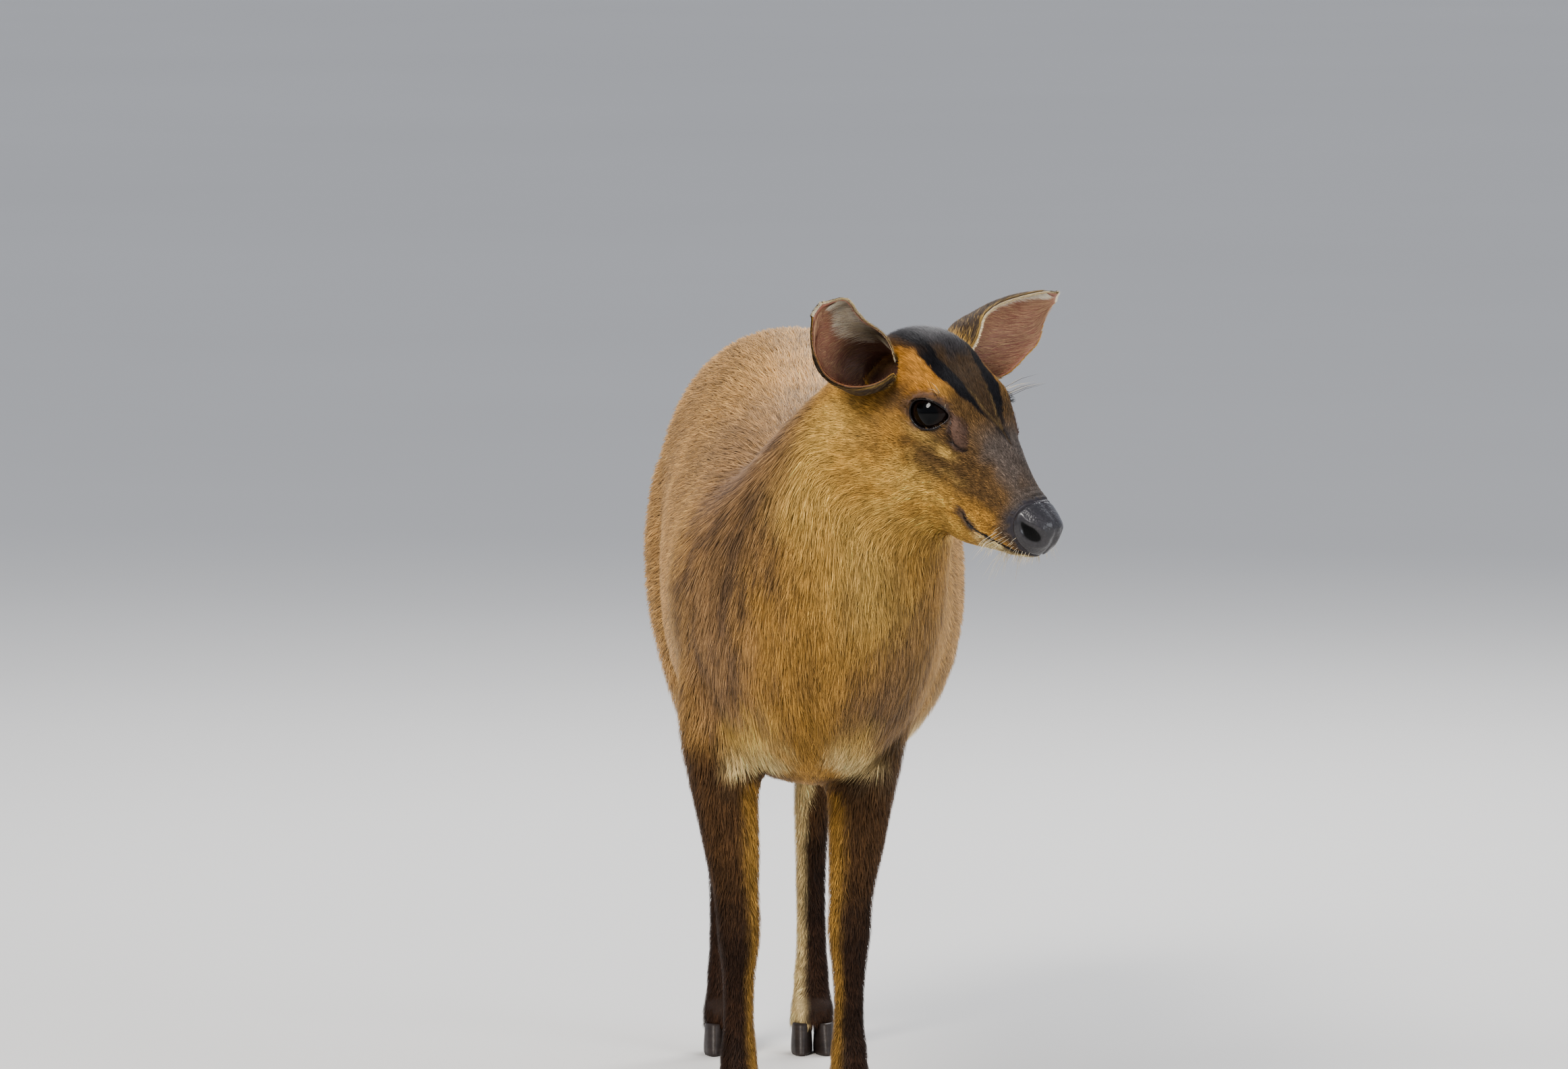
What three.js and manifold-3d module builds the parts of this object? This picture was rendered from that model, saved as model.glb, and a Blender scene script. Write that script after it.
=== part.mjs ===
// A life-size model of a Reeves's muntjac doe, standing square with her head turned to her left.
// Millimetres. She faces -Y, +X is her own left and +Z is up; the soles of the hooves lie at z = 0.
import * as THREE from "three";
import { ConvexGeometry } from "three/addons/geometries/ConvexGeometry.js";
import { mergeVertices } from "three/addons/utils/BufferGeometryUtils.js";
import Module from "manifold-3d";

const wasm = await Module();
wasm.setup();

const vec = (x, y, z) => new THREE.Vector3(x, y, z);
const radians = THREE.MathUtils.degToRad;

// Driving sizes
const GAP = 0.3; // between neighbouring pieces
const HEAD_AT = vec(106, -122, 474); // midway between the eyes
const HEAD_TURN = 45.5; // degrees to her left
const HEAD_DROP = 30; // degrees that the muzzle points below level
const DRAWN_IN = 5; // the right legs stand this much nearer the middle than the left ones
const EAR_LENGTH = 79;
const EAR_WALL = 1.9;
const EYE_RADIUS = 14;
const EYE_LONG = 12; // half the opening between the lids, along it and across it
const EYE_TALL = 9.2;
const LID_THICK = 5;
const NOSE_PAD = vec(24, 26, 17.5); // half sizes of the rounded space that holds it
const NOSTRIL = vec(3.8, 7.6, 3.8);
const HOOF_HEIGHT = 21;
const TOE_SPREAD = 7.6; // from the middle of a foot to the middle of a toe

// Places on the head, in its own frame: x to her left, -y towards the nose, z up, from between the eyes
const EYE_AT = vec(25, 4.4, -2);
const EYE_LOOK = vec(0.955, -0.28, 0.08); // where an eye points
const NOSTRIL_AT = vec(14.8, -93.3, -31);
const NOSE_PAD_AT = vec(0, -98, -29);
const GLAND_FOLD_AT = vec(27.6, -17.6, -0.5);
const GLAND_SLIT_AT = vec(30.6, -15, -5.5);
const MOUTH_CORNER = vec(0, -44.5, -48);

// Facets around and along each kind of piece
const TRUNK_FACETS = [28, 42];
const HEAD_FACETS = [32, 38];
const LEG_FACETS = [14, 24];
const TAIL_FACETS = [14, 12];
const EAR_FACETS = [11, 12];
const EYE_FACETS = [16, 12];
const HOOF_FACETS = [14, 5];

// Solids and booleans
function solid(geometry) {
  const bare = geometry.clone();
  bare.deleteAttribute("normal");
  bare.deleteAttribute("uv");
  const merged = mergeVertices(bare, 1e-4);
  return new wasm.Manifold(
    new wasm.Mesh({
      numProp: 3,
      vertProperties: new Float32Array(merged.attributes.position.array),
      triVerts: new Uint32Array(merged.index.array),
    }),
  );
}

function largest(manifold) {
  const pieces = manifold.decompose();
  return pieces.sort((a, b) => b.volume() - a.volume())[0];
}

function geometryOf(manifold) {
  const mesh = manifold.getMesh();
  const geometry = new THREE.BufferGeometry();
  geometry.setAttribute("position", new THREE.BufferAttribute(new Float32Array(mesh.vertProperties), 3));
  geometry.setIndex(new THREE.BufferAttribute(new Uint32Array(mesh.triVerts), 1));
  const flat = geometry.toNonIndexed();
  flat.computeVertexNormals();
  return flat;
}

// A closed skin pulled from a sphere onto the sections of a path. Each station has a centre (x, y, z), a
// half width (wide), the reach above and below the centre (over, under) and how boxy the section is, where
// 2 is an ellipse. low widens a section below its centre. dorsal is the direction that "over" leans to, and a
// fixed heading keeps every section in parallel planes.
function loft(stations, [around, along], options = {}) {
  const { dorsal = vec(0, 0, 1), heading = null, grow = 0, swells = [] } = options;
  const centre = new THREE.CatmullRomCurve3(stations.map((s) => vec(s.x ?? 0, s.y ?? 0, s.z ?? 0)));
  const reach = new THREE.CatmullRomCurve3(stations.map((s) => vec(s.wide, s.over, s.under)));
  const form = ({ boxy = 2, boxyUnder = boxy, low = 0 }) => vec(boxy, boxyUnder, low);
  const shape = new THREE.CatmullRomCurve3(stations.map(form));
  const geometry = new THREE.SphereGeometry(1, around, along + 2);
  const place = geometry.attributes.position;
  for (let row = 0; row <= along + 2; row++) {
    const t = THREE.MathUtils.clamp((row - 1) / along, 0, 1);
    const pole = row === 0 || row === along + 2;
    const at = centre.getPoint(t);
    const size = reach.getPoint(t);
    const bent = shape.getPoint(t);
    const ahead = heading ?? centre.getTangent(t);
    const over = dorsal.clone().addScaledVector(ahead, -dorsal.dot(ahead)).normalize();
    const side = over.clone().cross(ahead);
    for (let column = 0; column <= around; column++) {
      const angle = (column / around) * 2 * Math.PI;
      const across = -Math.cos(angle);
      const up = Math.sin(angle);
      const boxy = up > 0 ? bent.x : bent.y;
      const bend = (value) => Math.sign(value) * Math.abs(value) ** (2 / boxy);
      const wide = (size.x + grow) * bend(across) * (1 - bent.z * up);
      const tall = ((up > 0 ? size.y : size.z) + grow) * bend(up);
      const point = at.clone();
      if (!pole) point.addScaledVector(side, wide).addScaledVector(over, tall);
      const out = point.clone().sub(at).normalize();
      for (const swell of swells) {
        const near = point.distanceTo(swell.at) / swell.radius;
        if (!pole) point.addScaledVector(out, swell.rise * Math.exp(-near * near));
      }
      place.setXYZ(row * (around + 1) + column, point.x, point.y, point.z);
    }
  }
  return geometry;
}

function ellipsoid(at, radii, [around, along] = [14, 10], turn = new THREE.Euler()) {
  const shape = new THREE.Matrix4().compose(at, new THREE.Quaternion().setFromEuler(turn), radii);
  return new THREE.SphereGeometry(1, around, along).applyMatrix4(shape);
}

const legX = (x, side) => side * x + (side < 0 ? DRAWN_IN : 0);
const mirrored = (stations, side) => stations.map((s) => ({ ...s, x: legX(s.x, side) }));

// The trunk runs from the buttocks to the chest, and on up the neck into the back of the head.
const TRUNK = [
  { x: 5, y: 458, z: 394, wide: 12, over: 14, under: 16 },
  { x: 5, y: 450, z: 394, wide: 40, over: 42, under: 50 },
  { x: 7, y: 425, z: 394, wide: 62, over: 70, under: 92, boxy: 2.1 },
  { x: 10, y: 385, z: 392, wide: 77, over: 96, under: 124, boxy: 2.15 },
  { x: 15, y: 335, z: 387, wide: 84, over: 111, under: 140, boxy: 2.2, low: 0.03 },
  { x: 19, y: 280, z: 377, wide: 91, over: 120, under: 140, boxy: 2.2, low: 0.06 },
  { x: 22, y: 220, z: 363, wide: 98, over: 123, under: 142, boxy: 2.2, low: 0.08 },
  { x: 22, y: 160, z: 352, wide: 100, over: 120, under: 138, boxy: 2.2, low: 0.07 },
  { x: 19, y: 100, z: 347, wide: 96, over: 116, under: 132, boxy: 2.15, low: 0.04 },
  { x: 15, y: 50, z: 347, wide: 90, over: 107, under: 127, boxy: 2.1, low: 0 },
  { x: 14, y: 4, z: 352, wide: 85, over: 92, under: 128, boxy: 2.1, low: -0.02 },
  { x: 20, y: -34, z: 372, wide: 77, over: 78, under: 111, boxy: 2.05, low: -0.02 },
  { x: 33, y: -64, z: 406, wide: 65, over: 68, under: 84, boxy: 2.05 },
  { x: 48, y: -81, z: 438, wide: 56, over: 60, under: 68 },
  { x: 62, y: -91, z: 466, wide: 51, over: 50, under: 58 },
  { x: 72, y: -97, z: 486, wide: 41, over: 38, under: 46 },
  { x: 78, y: -100, z: 497, wide: 24, over: 22, under: 26 },
];
const BULGES = [
  { at: vec(96, 10, 345), radius: 58, rise: 5 }, // shoulders
  { at: vec(-64, 10, 345), radius: 58, rise: 5 },
  { at: vec(22, -84, 300), radius: 52, rise: 4 }, // brisket
  { at: vec(84, 365, 372), radius: 66, rise: 7 }, // haunches
  { at: vec(-62, 365, 372), radius: 66, rise: 7 },
];

// The left legs, from the body down. The right ones are their mirror image, drawn in towards the middle.
const FORELEG = [
  { x: 40, y: 2, z: 345, wide: 26, over: 36, under: 40 },
  { x: 50, y: 4, z: 295, wide: 28, over: 36, under: 42 },
  { x: 50, y: 8, z: 250, wide: 26, over: 29, under: 38 },
  { x: 46, y: 6, z: 215, wide: 22, over: 22, under: 29 },
  { x: 42, y: 2, z: 178, wide: 18.6, over: 17.5, under: 20.5 },
  { x: 39, y: 0, z: 148, wide: 15.4, over: 15, under: 16.5 },
  { x: 38, y: -2, z: 127, wide: 15.4, over: 16.5, under: 15.5, boxy: 2.3 },
  { x: 38, y: 0, z: 107, wide: 12.4, over: 13, under: 14 },
  { x: 38, y: 1, z: 84, wide: 10.8, over: 11, under: 13 },
  { x: 38, y: 1, z: 62, wide: 11, over: 11.5, under: 14 },
  { x: 38, y: -1, z: 48, wide: 13.4, over: 14, under: 16 },
  { x: 38, y: -8, z: 34, wide: 12.2, over: 12.5, under: 13 },
  { x: 38, y: -13, z: 26, wide: 13.4, over: 15, under: 15 },
  { x: 38, y: -14, z: HOOF_HEIGHT - 2, wide: 13.6, over: 15.5, under: 15.5 },
];

const HINDLEG = [
  { x: 34, y: 372, z: 440, wide: 20, over: 30, under: 30 },
  { x: 48, y: 362, z: 400, wide: 32, over: 58, under: 56 },
  { x: 54, y: 350, z: 350, wide: 35, over: 70, under: 70 },
  { x: 54, y: 345, z: 303, wide: 32, over: 61, under: 60 },
  { x: 49, y: 354, z: 262, wide: 26, over: 43, under: 44 },
  { x: 43, y: 376, z: 225, wide: 20, over: 28, under: 29 },
  { x: 37, y: 400, z: 195, wide: 15.6, over: 19.5, under: 22.5 },
  { x: 34, y: 414, z: 172, wide: 14.6, over: 17.5, under: 22, boxy: 2.3 },
  { x: 33, y: 414, z: 148, wide: 12.8, over: 15.5, under: 17.5 },
  { x: 32, y: 409, z: 118, wide: 11.2, over: 12.5, under: 14.5 },
  { x: 32, y: 403, z: 88, wide: 10.8, over: 12, under: 14 },
  { x: 32, y: 398, z: 64, wide: 11.2, over: 12, under: 14.5 },
  { x: 32, y: 394, z: 48, wide: 13.4, over: 14, under: 16.5 },
  { x: 32, y: 386, z: 34, wide: 12.2, over: 12.5, under: 13 },
  { x: 32, y: 381, z: 26, wide: 13.4, over: 15, under: 15 },
  { x: 32, y: 380, z: HOOF_HEIGHT - 2, wide: 13.6, over: 15.5, under: 15.5 },
];

const TAIL = [
  { x: 5, y: 434, z: 452, wide: 17, over: 9, under: 12 },
  { x: 5, y: 458, z: 444, wide: 20, over: 11, under: 12 },
  { x: 5, y: 473, z: 421, wide: 24, over: 11, under: 11 },
  { x: 5, y: 479, z: 390, wide: 26, over: 11, under: 10 },
  { x: 5, y: 479, z: 358, wide: 24, over: 10, under: 9 },
  { x: 5, y: 475, z: 333, wide: 17, over: 7.5, under: 7 },
  { x: 5, y: 471, z: 317, wide: 6, over: 3, under: 3 },
];

// The head in its own frame: x to her left, -y towards the nose, z up, its origin midway between the eyes.
const HEAD = [
  { y: 74, z: 0, wide: 14, over: 12, under: 14 },
  { y: 68, z: -4, wide: 28, over: 24, under: 30 },
  { y: 54, z: -10, wide: 37, over: 40, under: 48, boxy: 2.15, boxyUnder: 2 },
  { y: 36, z: -14, wide: 41, over: 45.5, under: 58, boxy: 2.5, boxyUnder: 2 },
  { y: 18, z: -15, wide: 38.6, over: 38.5, under: 56, boxy: 3.2, boxyUnder: 2.15 },
  { y: 2, z: -15, wide: 36.8, over: 33.5, under: 55, boxy: 3.8, boxyUnder: 2.2 },
  { y: -12, z: -19, wide: 33, over: 32.5, under: 53, low: 0.01, boxy: 3.6, boxyUnder: 2.2 },
  { y: -26, z: -25, wide: 28, over: 32.5, under: 49.5, low: 0.04, boxy: 3.1, boxyUnder: 2.15 },
  { y: -42, z: -31, wide: 23, over: 33.5, under: 42.5, low: 0.09, boxy: 2.6, boxyUnder: 2.1 },
  { y: -58, z: -33, wide: 19.6, over: 28.5, under: 34, low: 0.07, boxy: 2.15 },
  { y: -72, z: -34, wide: 18, over: 22, under: 27, low: 0, boxy: 2.25 },
  { y: -84, z: -34, wide: 17.2, over: 18, under: 22.5, low: -0.06, boxy: 2.35 },
  { y: -92.5, z: -33, wide: 14.6, over: 14.6, under: 18.5, low: -0.08, boxy: 2.35 },
  { y: -98, z: -32, wide: 10.8, over: 11.8, under: 15, low: -0.08, boxy: 2.3 },
  { y: -100.8, z: -31.5, wide: 7.2, over: 8.4, under: 10, boxy: 2.2 },
  { y: -102.2, z: -31.5, wide: 4.6, over: 4.6, under: 5 },
];
const FACE_SWELLS = [1, -1].flatMap((side) => [
  { at: vec(side * 33, -3, 12), radius: 13, rise: 2.5 }, // brow over the eye
  { at: vec(side * 37, 6, -17), radius: 17, rise: 2.5 }, // cheekbone under it
  { at: vec(side * 14, -78, -38), radius: 13, rise: 1.6 }, // upper lip
  { at: vec(side * 30, 30, -52), radius: 24, rise: 2.5 }, // angle of the jaw
]);

const headPlace = new THREE.Matrix4().compose(
  HEAD_AT,
  new THREE.Quaternion().setFromEuler(
    new THREE.Euler(radians(HEAD_DROP), 0, radians(HEAD_TURN), "ZYX"),
  ),
  vec(1, 1, 1),
);

function headLoft(grow) {
  const form = { heading: vec(0, -1, 0), grow, swells: FACE_SWELLS };
  return solid(loft(HEAD, HEAD_FACETS, form).applyMatrix4(headPlace));
}

const inHead = (geometry) => solid(geometry.applyMatrix4(headPlace));

const bothSides = (point, side) => vec(side * point.x, point.y, point.z);

function eyeball(side, grow) {
  const size = vec(1, 1, 1).multiplyScalar(EYE_RADIUS + grow);
  return inHead(ellipsoid(bothSides(EYE_AT, side), size, EYE_FACETS));
}

// The edge of the opening between the lids: an oval on the eyeball, drawn out to a corner in front
function lidLine(side, swell) {
  const ahead = EYE_LOOK.clone().normalize();
  const along = vec(0, -1, 0.38);
  along.addScaledVector(ahead, -along.dot(ahead)).normalize();
  const up = ahead.clone().cross(along).normalize();
  if (up.z < 0) up.negate();
  const count = 24;
  return Array.from({ length: count }, (_, i) => {
    const angle = (i / count) * 2 * Math.PI;
    const corner = 1 + 0.07 * Math.max(0, Math.cos(angle)) ** 6;
    const a = (EYE_LONG + swell) * Math.cos(angle) * corner;
    const b = (EYE_TALL + swell) * Math.sin(angle) * (1 - 0.1 * Math.cos(angle));
    const depth = Math.sqrt(Math.max(0, (EYE_RADIUS + 0.6) ** 2 - a * a - b * b));
    const point = EYE_AT.clone().addScaledVector(along, a).addScaledVector(up, b);
    return bothSides(point.addScaledVector(ahead, depth), side);
  });
}

function lids(side) {
  const path = new THREE.CatmullRomCurve3(lidLine(side, 1.7), true);
  return inHead(new THREE.TubeGeometry(path, 26, LID_THICK / 2, 7, true));
}

// A cone of space in front of the eyeball, as wide as the opening
function lidOpening(side) {
  const rim = lidLine(side, 0.2);
  const middle = bothSides(EYE_AT, side);
  const near = rim.map((p) => p.clone().sub(middle).multiplyScalar(0.72).add(middle));
  const far = rim.map((p) => p.clone().sub(middle).multiplyScalar(1.7).add(middle));
  const points = [middle, ...near, ...far, bothSides(EYE_LOOK, side).multiplyScalar(30).add(middle)];
  return inHead(new ConvexGeometry(points));
}

// The closed mouth: a thin curved slit right across the muzzle, from one corner to the other.
function mouthSlit() {
  const line = new THREE.CatmullRomCurve3([
    MOUTH_CORNER,
    vec(0, -50, -52),
    vec(0, -57, -53.4),
    vec(0, -66, -52.2),
    vec(0, -76, -50.6),
    vec(0, -86, -49.2),
    vec(0, -97, -46),
    vec(0, -112, -42),
  ]);
  const middle = line.getPoints(16);
  const open = (i, way) => way * (0.15 + 0.4 * Math.min(1, i / 3));
  const upper = middle.map((p, i) => new THREE.Vector2(p.y, p.z + open(i, 1)));
  const lower = middle.map((p, i) => new THREE.Vector2(p.y, p.z + open(i, -1)));
  const shape = new THREE.Shape([...upper, ...lower.reverse()]);
  const slit = new THREE.ExtrudeGeometry(shape, { depth: 70, bevelEnabled: false });
  slit.translate(0, 0, -35);
  const turn = new THREE.Matrix4().makeBasis(vec(0, 1, 0), vec(0, 0, 1), vec(1, 0, 0));
  return inHead(slit.applyMatrix4(turn));
}

function nostril(side) {
  const pit = ellipsoid(vec(0, 0, 0), NOSTRIL, [12, 8]);
  pit.rotateX(radians(12));
  pit.rotateZ(radians(-side * 34));
  pit.translate(...bothSides(NOSTRIL_AT, side));
  return inHead(pit);
}

// The scent gland in front of the eye: a drop-shaped fold with a slit behind it.
function faceGland(side) {
  const place = (geometry, at) => {
    geometry.rotateX(radians(-46));
    geometry.rotateZ(radians(side * 17));
    geometry.translate(...bothSides(at, side));
    return inHead(geometry);
  };
  const fold = place(ellipsoid(vec(0, 0, 0), vec(3, 4, 12), [12, 8]), GLAND_FOLD_AT);
  const slit = place(ellipsoid(vec(0, 0, 0), vec(3, 1.1, 8), [10, 6]), GLAND_SLIT_AT);
  return { fold, slit };
}

// An ear is a leaf rolled into a cup. Its sections are arcs, each with a radius, a half angle in degrees and
// a step back from the cup's mouth, from the base to the tip, and a turn in degrees that twists the leaf.
const EAR_ROLL = new THREE.CatmullRomCurve3([
  vec(14.3, 159, 2.3),
  vec(20.6, 135.5, 5),
  vec(22.6, 101, 5.9),
  vec(24.8, 83, 6),
  vec(25.3, 73, 4.7),
  vec(23.9, 55.6, -0.7),
  vec(19.7, 15, -4.5),
]);
const EAR_TWIST = new THREE.CatmullRomCurve3(
  [8.6, 9.5, 6.8, -0.5, -11, -19, -33.5].map((turn) => vec(turn, 0, 0)),
);

function ear(base, aim, opening) {
  const [across, along] = EAR_FACETS;
  const ahead = aim.clone().normalize();
  const open = opening.clone().addScaledVector(ahead, -opening.dot(ahead)).normalize();
  const side = open.clone().cross(ahead);
  const points = [];
  for (const inner of [0, 1])
    for (let row = 0; row <= along; row++)
      for (let column = 0; column <= across; column++) {
        const t = row / along;
        const roll = EAR_ROLL.getPoint(t);
        const edge = (2 * column) / across - 1;
        const angle = radians(roll.y * edge - Math.sign(aim.x) * EAR_TWIST.getPoint(t).x);
        const wall = EAR_WALL * (1 - 0.45 * t) * (1 - 0.35 * edge * edge);
        const radius = roll.x - inner * wall;
        const point = base.clone().addScaledVector(ahead, EAR_LENGTH * (t ** 1.05));
        point.addScaledVector(side, radius * Math.sin(angle));
        point.addScaledVector(open, roll.x * t - radius * Math.cos(angle) - roll.z);
        points.push(point);
      }
  const columns = across + 1;
  const layer = columns * (along + 1);
  const faces = [];
  const quad = (a, b, c, d) => faces.push(a, b, c, a, c, d);
  for (let row = 0; row < along; row++)
    for (let column = 0; column < across; column++) {
      const a = row * columns + column;
      quad(a, a + 1, a + columns + 1, a + columns);
      const b = a + layer;
      faces.push(b, b + columns + 1, b + 1, b, b + columns, b + columns + 1);
    }
  for (let row = 0; row < along; row++) {
    const left = row * columns;
    const right = left + across;
    quad(left, left + columns, left + columns + layer, left + layer);
    quad(right, right + layer, right + columns + layer, right + columns);
  }
  for (let column = 0; column < across; column++) {
    const tip = along * columns + column;
    quad(column, column + layer, column + 1 + layer, column + 1);
    quad(tip, tip + 1, tip + 1 + layer, tip + layer);
  }
  const geometry = new THREE.BufferGeometry().setFromPoints(points);
  geometry.setIndex(faces);
  return inHead(geometry);
}

// One toe of a cloven hoof: a wedge on a flat sole, blunt behind and pointed ahead.
function toe(x, y, side, splay) {
  const rings = [
    { z: 0, wide: 7.2, over: 21, under: 15 },
    { z: 4, wide: 7.4, over: 20, under: 15.4 },
    { z: 12, wide: 7, over: 15.5, under: 14.6 },
    { z: HOOF_HEIGHT, wide: 6.3, over: 11, under: 13.4 },
  ].map((r) => ({ ...r, x: 0, y: 0, boxy: 1.8, boxyUnder: 2.6 }));
  const form = { dorsal: vec(0, -1, 0), heading: vec(0, 0, -1) };
  const geometry = loft(rings.reverse(), HOOF_FACETS, form);
  geometry.rotateZ(radians(side * splay));
  geometry.translate(x + side * TOE_SPREAD, y, 0);
  return solid(geometry);
}

function dewclaw(x, y, side) {
  const claw = ellipsoid(vec(0, 0, 0), vec(4.6, 5.4, 9), [8, 6]);
  claw.rotateX(radians(-20));
  claw.translate(x + side * 6.6, y, 40);
  return solid(claw);
}

// A thin plate that parts two pieces, square to a direction.
function parting(at, normal, reach) {
  const plate = new THREE.BoxGeometry(reach, reach, GAP);
  const turn = new THREE.Quaternion().setFromUnitVectors(vec(0, 0, 1), normal.clone().normalize());
  plate.applyMatrix4(new THREE.Matrix4().compose(at, turn, vec(1, 1, 1)));
  return solid(plate);
}

const pieces = new Map();

// Trunk and legs as one body, then parted with thin cuts
let body = solid(loft(TRUNK, TRUNK_FACETS, { swells: BULGES }));
const legForm = { dorsal: vec(0, -1, 0) };
const legCuts = [
  [FORELEG, "foreleg", [208, 131, 47]],
  [HINDLEG, "hindleg", [232, 176, 47]],
];
for (const side of [1, -1])
  for (const [stations] of legCuts) {
    const leg = loft(mirrored(stations, side), LEG_FACETS, legForm);
    body = body.add(solid(leg));
  }

function legPlace(stations, height, side) {
  const i = stations.findIndex((s) => s.z <= height);
  const [a, b] = [stations[i - 1], stations[i]];
  const share = (a.z - height) / (a.z - b.z);
  const at = vec(a.x, a.y, a.z).lerp(vec(b.x, b.y, b.z), share);
  return vec(legX(at.x, side), at.y, height);
}

for (const side of [1, -1])
  for (const [stations, , heights] of legCuts)
    for (const height of heights) {
      const reach = height > 200 ? 104 : 76;
      body = body.subtract(parting(legPlace(stations, height, side), vec(0, 0, 1), reach));
    }
const below = new THREE.BoxGeometry(400, 700, 80);
below.translate(0, 180, HOOF_HEIGHT + GAP - 40);
body = body.subtract(solid(below));

const neckBase = vec(24, -46, 384);
const neckAim = vec(0.3, -0.72, 0.62);
body = body.subtract(parting(neckBase, neckAim, 420));
const neckTop = vec(69, -79, 437);
const neckTopAim = vec(0.53, -0.52, 0.64);
body = body.add(headLoft(0)).subtract(parting(neckTop, neckTopAim, 260));

const bodyPieces = body.decompose();

// The piece of the parted body that holds a point
function pieceAt(point) {
  const probe = solid(ellipsoid(point, vec(2, 2, 2), [6, 4]));
  return bodyPieces.find((piece) => piece.intersect(probe).volume() > 1);
}

pieces.set("torso", pieceAt(vec(10, 200, 350)));
const sides = { left: 1, right: -1 };
for (const [name, side] of Object.entries(sides))
  for (const [stations, leg, [knee, pastern, foot]] of legCuts) {
    pieces.set(`${leg}_${name}_upper`, pieceAt(legPlace(stations, (knee + pastern) / 2, side)));
    pieces.set(`${leg}_${name}_lower`, pieceAt(legPlace(stations, (pastern + foot) / 2, side)));
    pieces.set(`${leg}_${name}_pastern`, pieceAt(legPlace(stations, 30, side)));
  }

// Head, with its lids, mouth, nostrils and glands
let head = pieceAt(vec(0, -20, -20).applyMatrix4(headPlace));
for (const side of [1, -1]) {
  const gland = faceGland(side);
  head = head.add(lids(side)).add(gland.fold).subtract(gland.slit);
  head = head.subtract(lidOpening(side)).subtract(nostril(side)).subtract(eyeball(side, GAP));
}
head = head.subtract(mouthSlit());
const noseTool = (grow) => inHead(ellipsoid(NOSE_PAD_AT, NOSE_PAD.clone().addScalar(grow), [16, 12]));
pieces.set("nose", largest(head.intersect(noseTool(0))));
head = largest(head.subtract(noseTool(GAP)));

pieces.set("head", head);
pieces.set("neck", pieceAt(vec(40, -66, 412)));

const torsoGrown = solid(loft(TRUNK, TRUNK_FACETS, { swells: BULGES, grow: GAP }));
const headGrown = headLoft(GAP).add(torsoGrown);
const ears = {
  left: ear(vec(35.7, 46.4, 4.5), vec(0.899, 0.021, 0.438), vec(-0.009, -0.928, 0.373)),
  right: ear(vec(-37.5, 45.5, 2.5), vec(-0.914, 0.216, 0.343), vec(0.017, -0.819, 0.573)),
};
for (const [name, shell] of Object.entries(ears)) {
  pieces.set(`ear_${name}`, largest(shell.subtract(headGrown)));
  pieces.set(`eye_${name}`, eyeball(sides[name], 0));
}

// Tail
const tail = solid(loft(TAIL, TAIL_FACETS, { dorsal: vec(0, 1, 0) }));
pieces.set("tail", largest(tail.subtract(torsoGrown)));

// Hooves and dewclaws
const feet = [
  [FORELEG, "foreleg", 38, -20, 13],
  [HINDLEG, "hindleg", 32, 374, 408],
];
for (const [name, side] of Object.entries(sides))
  for (const [stations, leg, x, y, back] of feet) {
    const grown = solid(loft(mirrored(stations, side), LEG_FACETS, { ...legForm, grow: GAP }));
    for (const [toeName, toeSide] of Object.entries({ outer: side, inner: -side })) {
      const claw = largest(dewclaw(legX(x, side), back, toeSide).subtract(grown));
      pieces.set(`hoof_${leg}_${name}_${toeName}`, toe(legX(x, side), y, toeSide, 3));
      pieces.set(`dewclaw_${leg}_${name}_${toeName}`, claw);
    }
  }

// Colours
const COAT = { color: 0x9c6b3a, roughness: 0.9 };
const FINISHES = {
  ear: { color: 0x6f5540, roughness: 0.9 },
  eye: { color: 0x140c0a, roughness: 0.08 },
  nose: { color: 0x2e2a2c, roughness: 0.4 },
  hoof: { color: 0x2b2522, roughness: 0.45 },
  dewclaw: { color: 0x2b2522, roughness: 0.5 },
  foreleg: { color: 0x5d4028, roughness: 0.9 },
  hindleg: { color: 0x7a5532, roughness: 0.9 },
};

const muntjac = new THREE.Group();
for (const [name, piece] of pieces) {
  const finish = FINISHES[name.split("_")[0]] ?? COAT;
  const mesh = new THREE.Mesh(geometryOf(piece), new THREE.MeshStandardMaterial({ ...finish, metalness: 0 }));
  mesh.name = name;
  muntjac.add(mesh);
}

// She stands with the middle of her bounding box over the origin.
const middle = new THREE.Box3().setFromObject(muntjac, true).getCenter(vec(0, 0, 0));
muntjac.position.set(-middle.x, -middle.y, 0);

export default muntjac;
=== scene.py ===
"""A life-size muntjac doe with her skin, eyes, nose, ears, hooves and coat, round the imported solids."""

import math

import bmesh
import bpy
import numpy as np
from bpy.props import FloatProperty, FloatVectorProperty, IntProperty, PointerProperty
from mathutils import Matrix, Vector
from mathutils.bvhtree import BVHTree


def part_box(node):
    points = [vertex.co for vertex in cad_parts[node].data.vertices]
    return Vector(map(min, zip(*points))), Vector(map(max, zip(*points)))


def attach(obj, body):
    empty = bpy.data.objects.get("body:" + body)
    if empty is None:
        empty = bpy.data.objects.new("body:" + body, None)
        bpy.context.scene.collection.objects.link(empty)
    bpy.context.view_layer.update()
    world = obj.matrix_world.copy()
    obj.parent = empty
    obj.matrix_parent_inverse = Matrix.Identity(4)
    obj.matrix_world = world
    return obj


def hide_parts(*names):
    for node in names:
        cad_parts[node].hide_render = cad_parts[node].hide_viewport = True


bl_info = {
    "name": "Muntjac",
    "version": (1, 0, 0),
    "blender": (4, 5, 0),
    "location": "3D View > Sidebar > Muntjac",
    "description": "Dresses the solids of a muntjac doe with her skin, eyes, horn and coat",
    "category": "Add Mesh",
}

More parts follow.
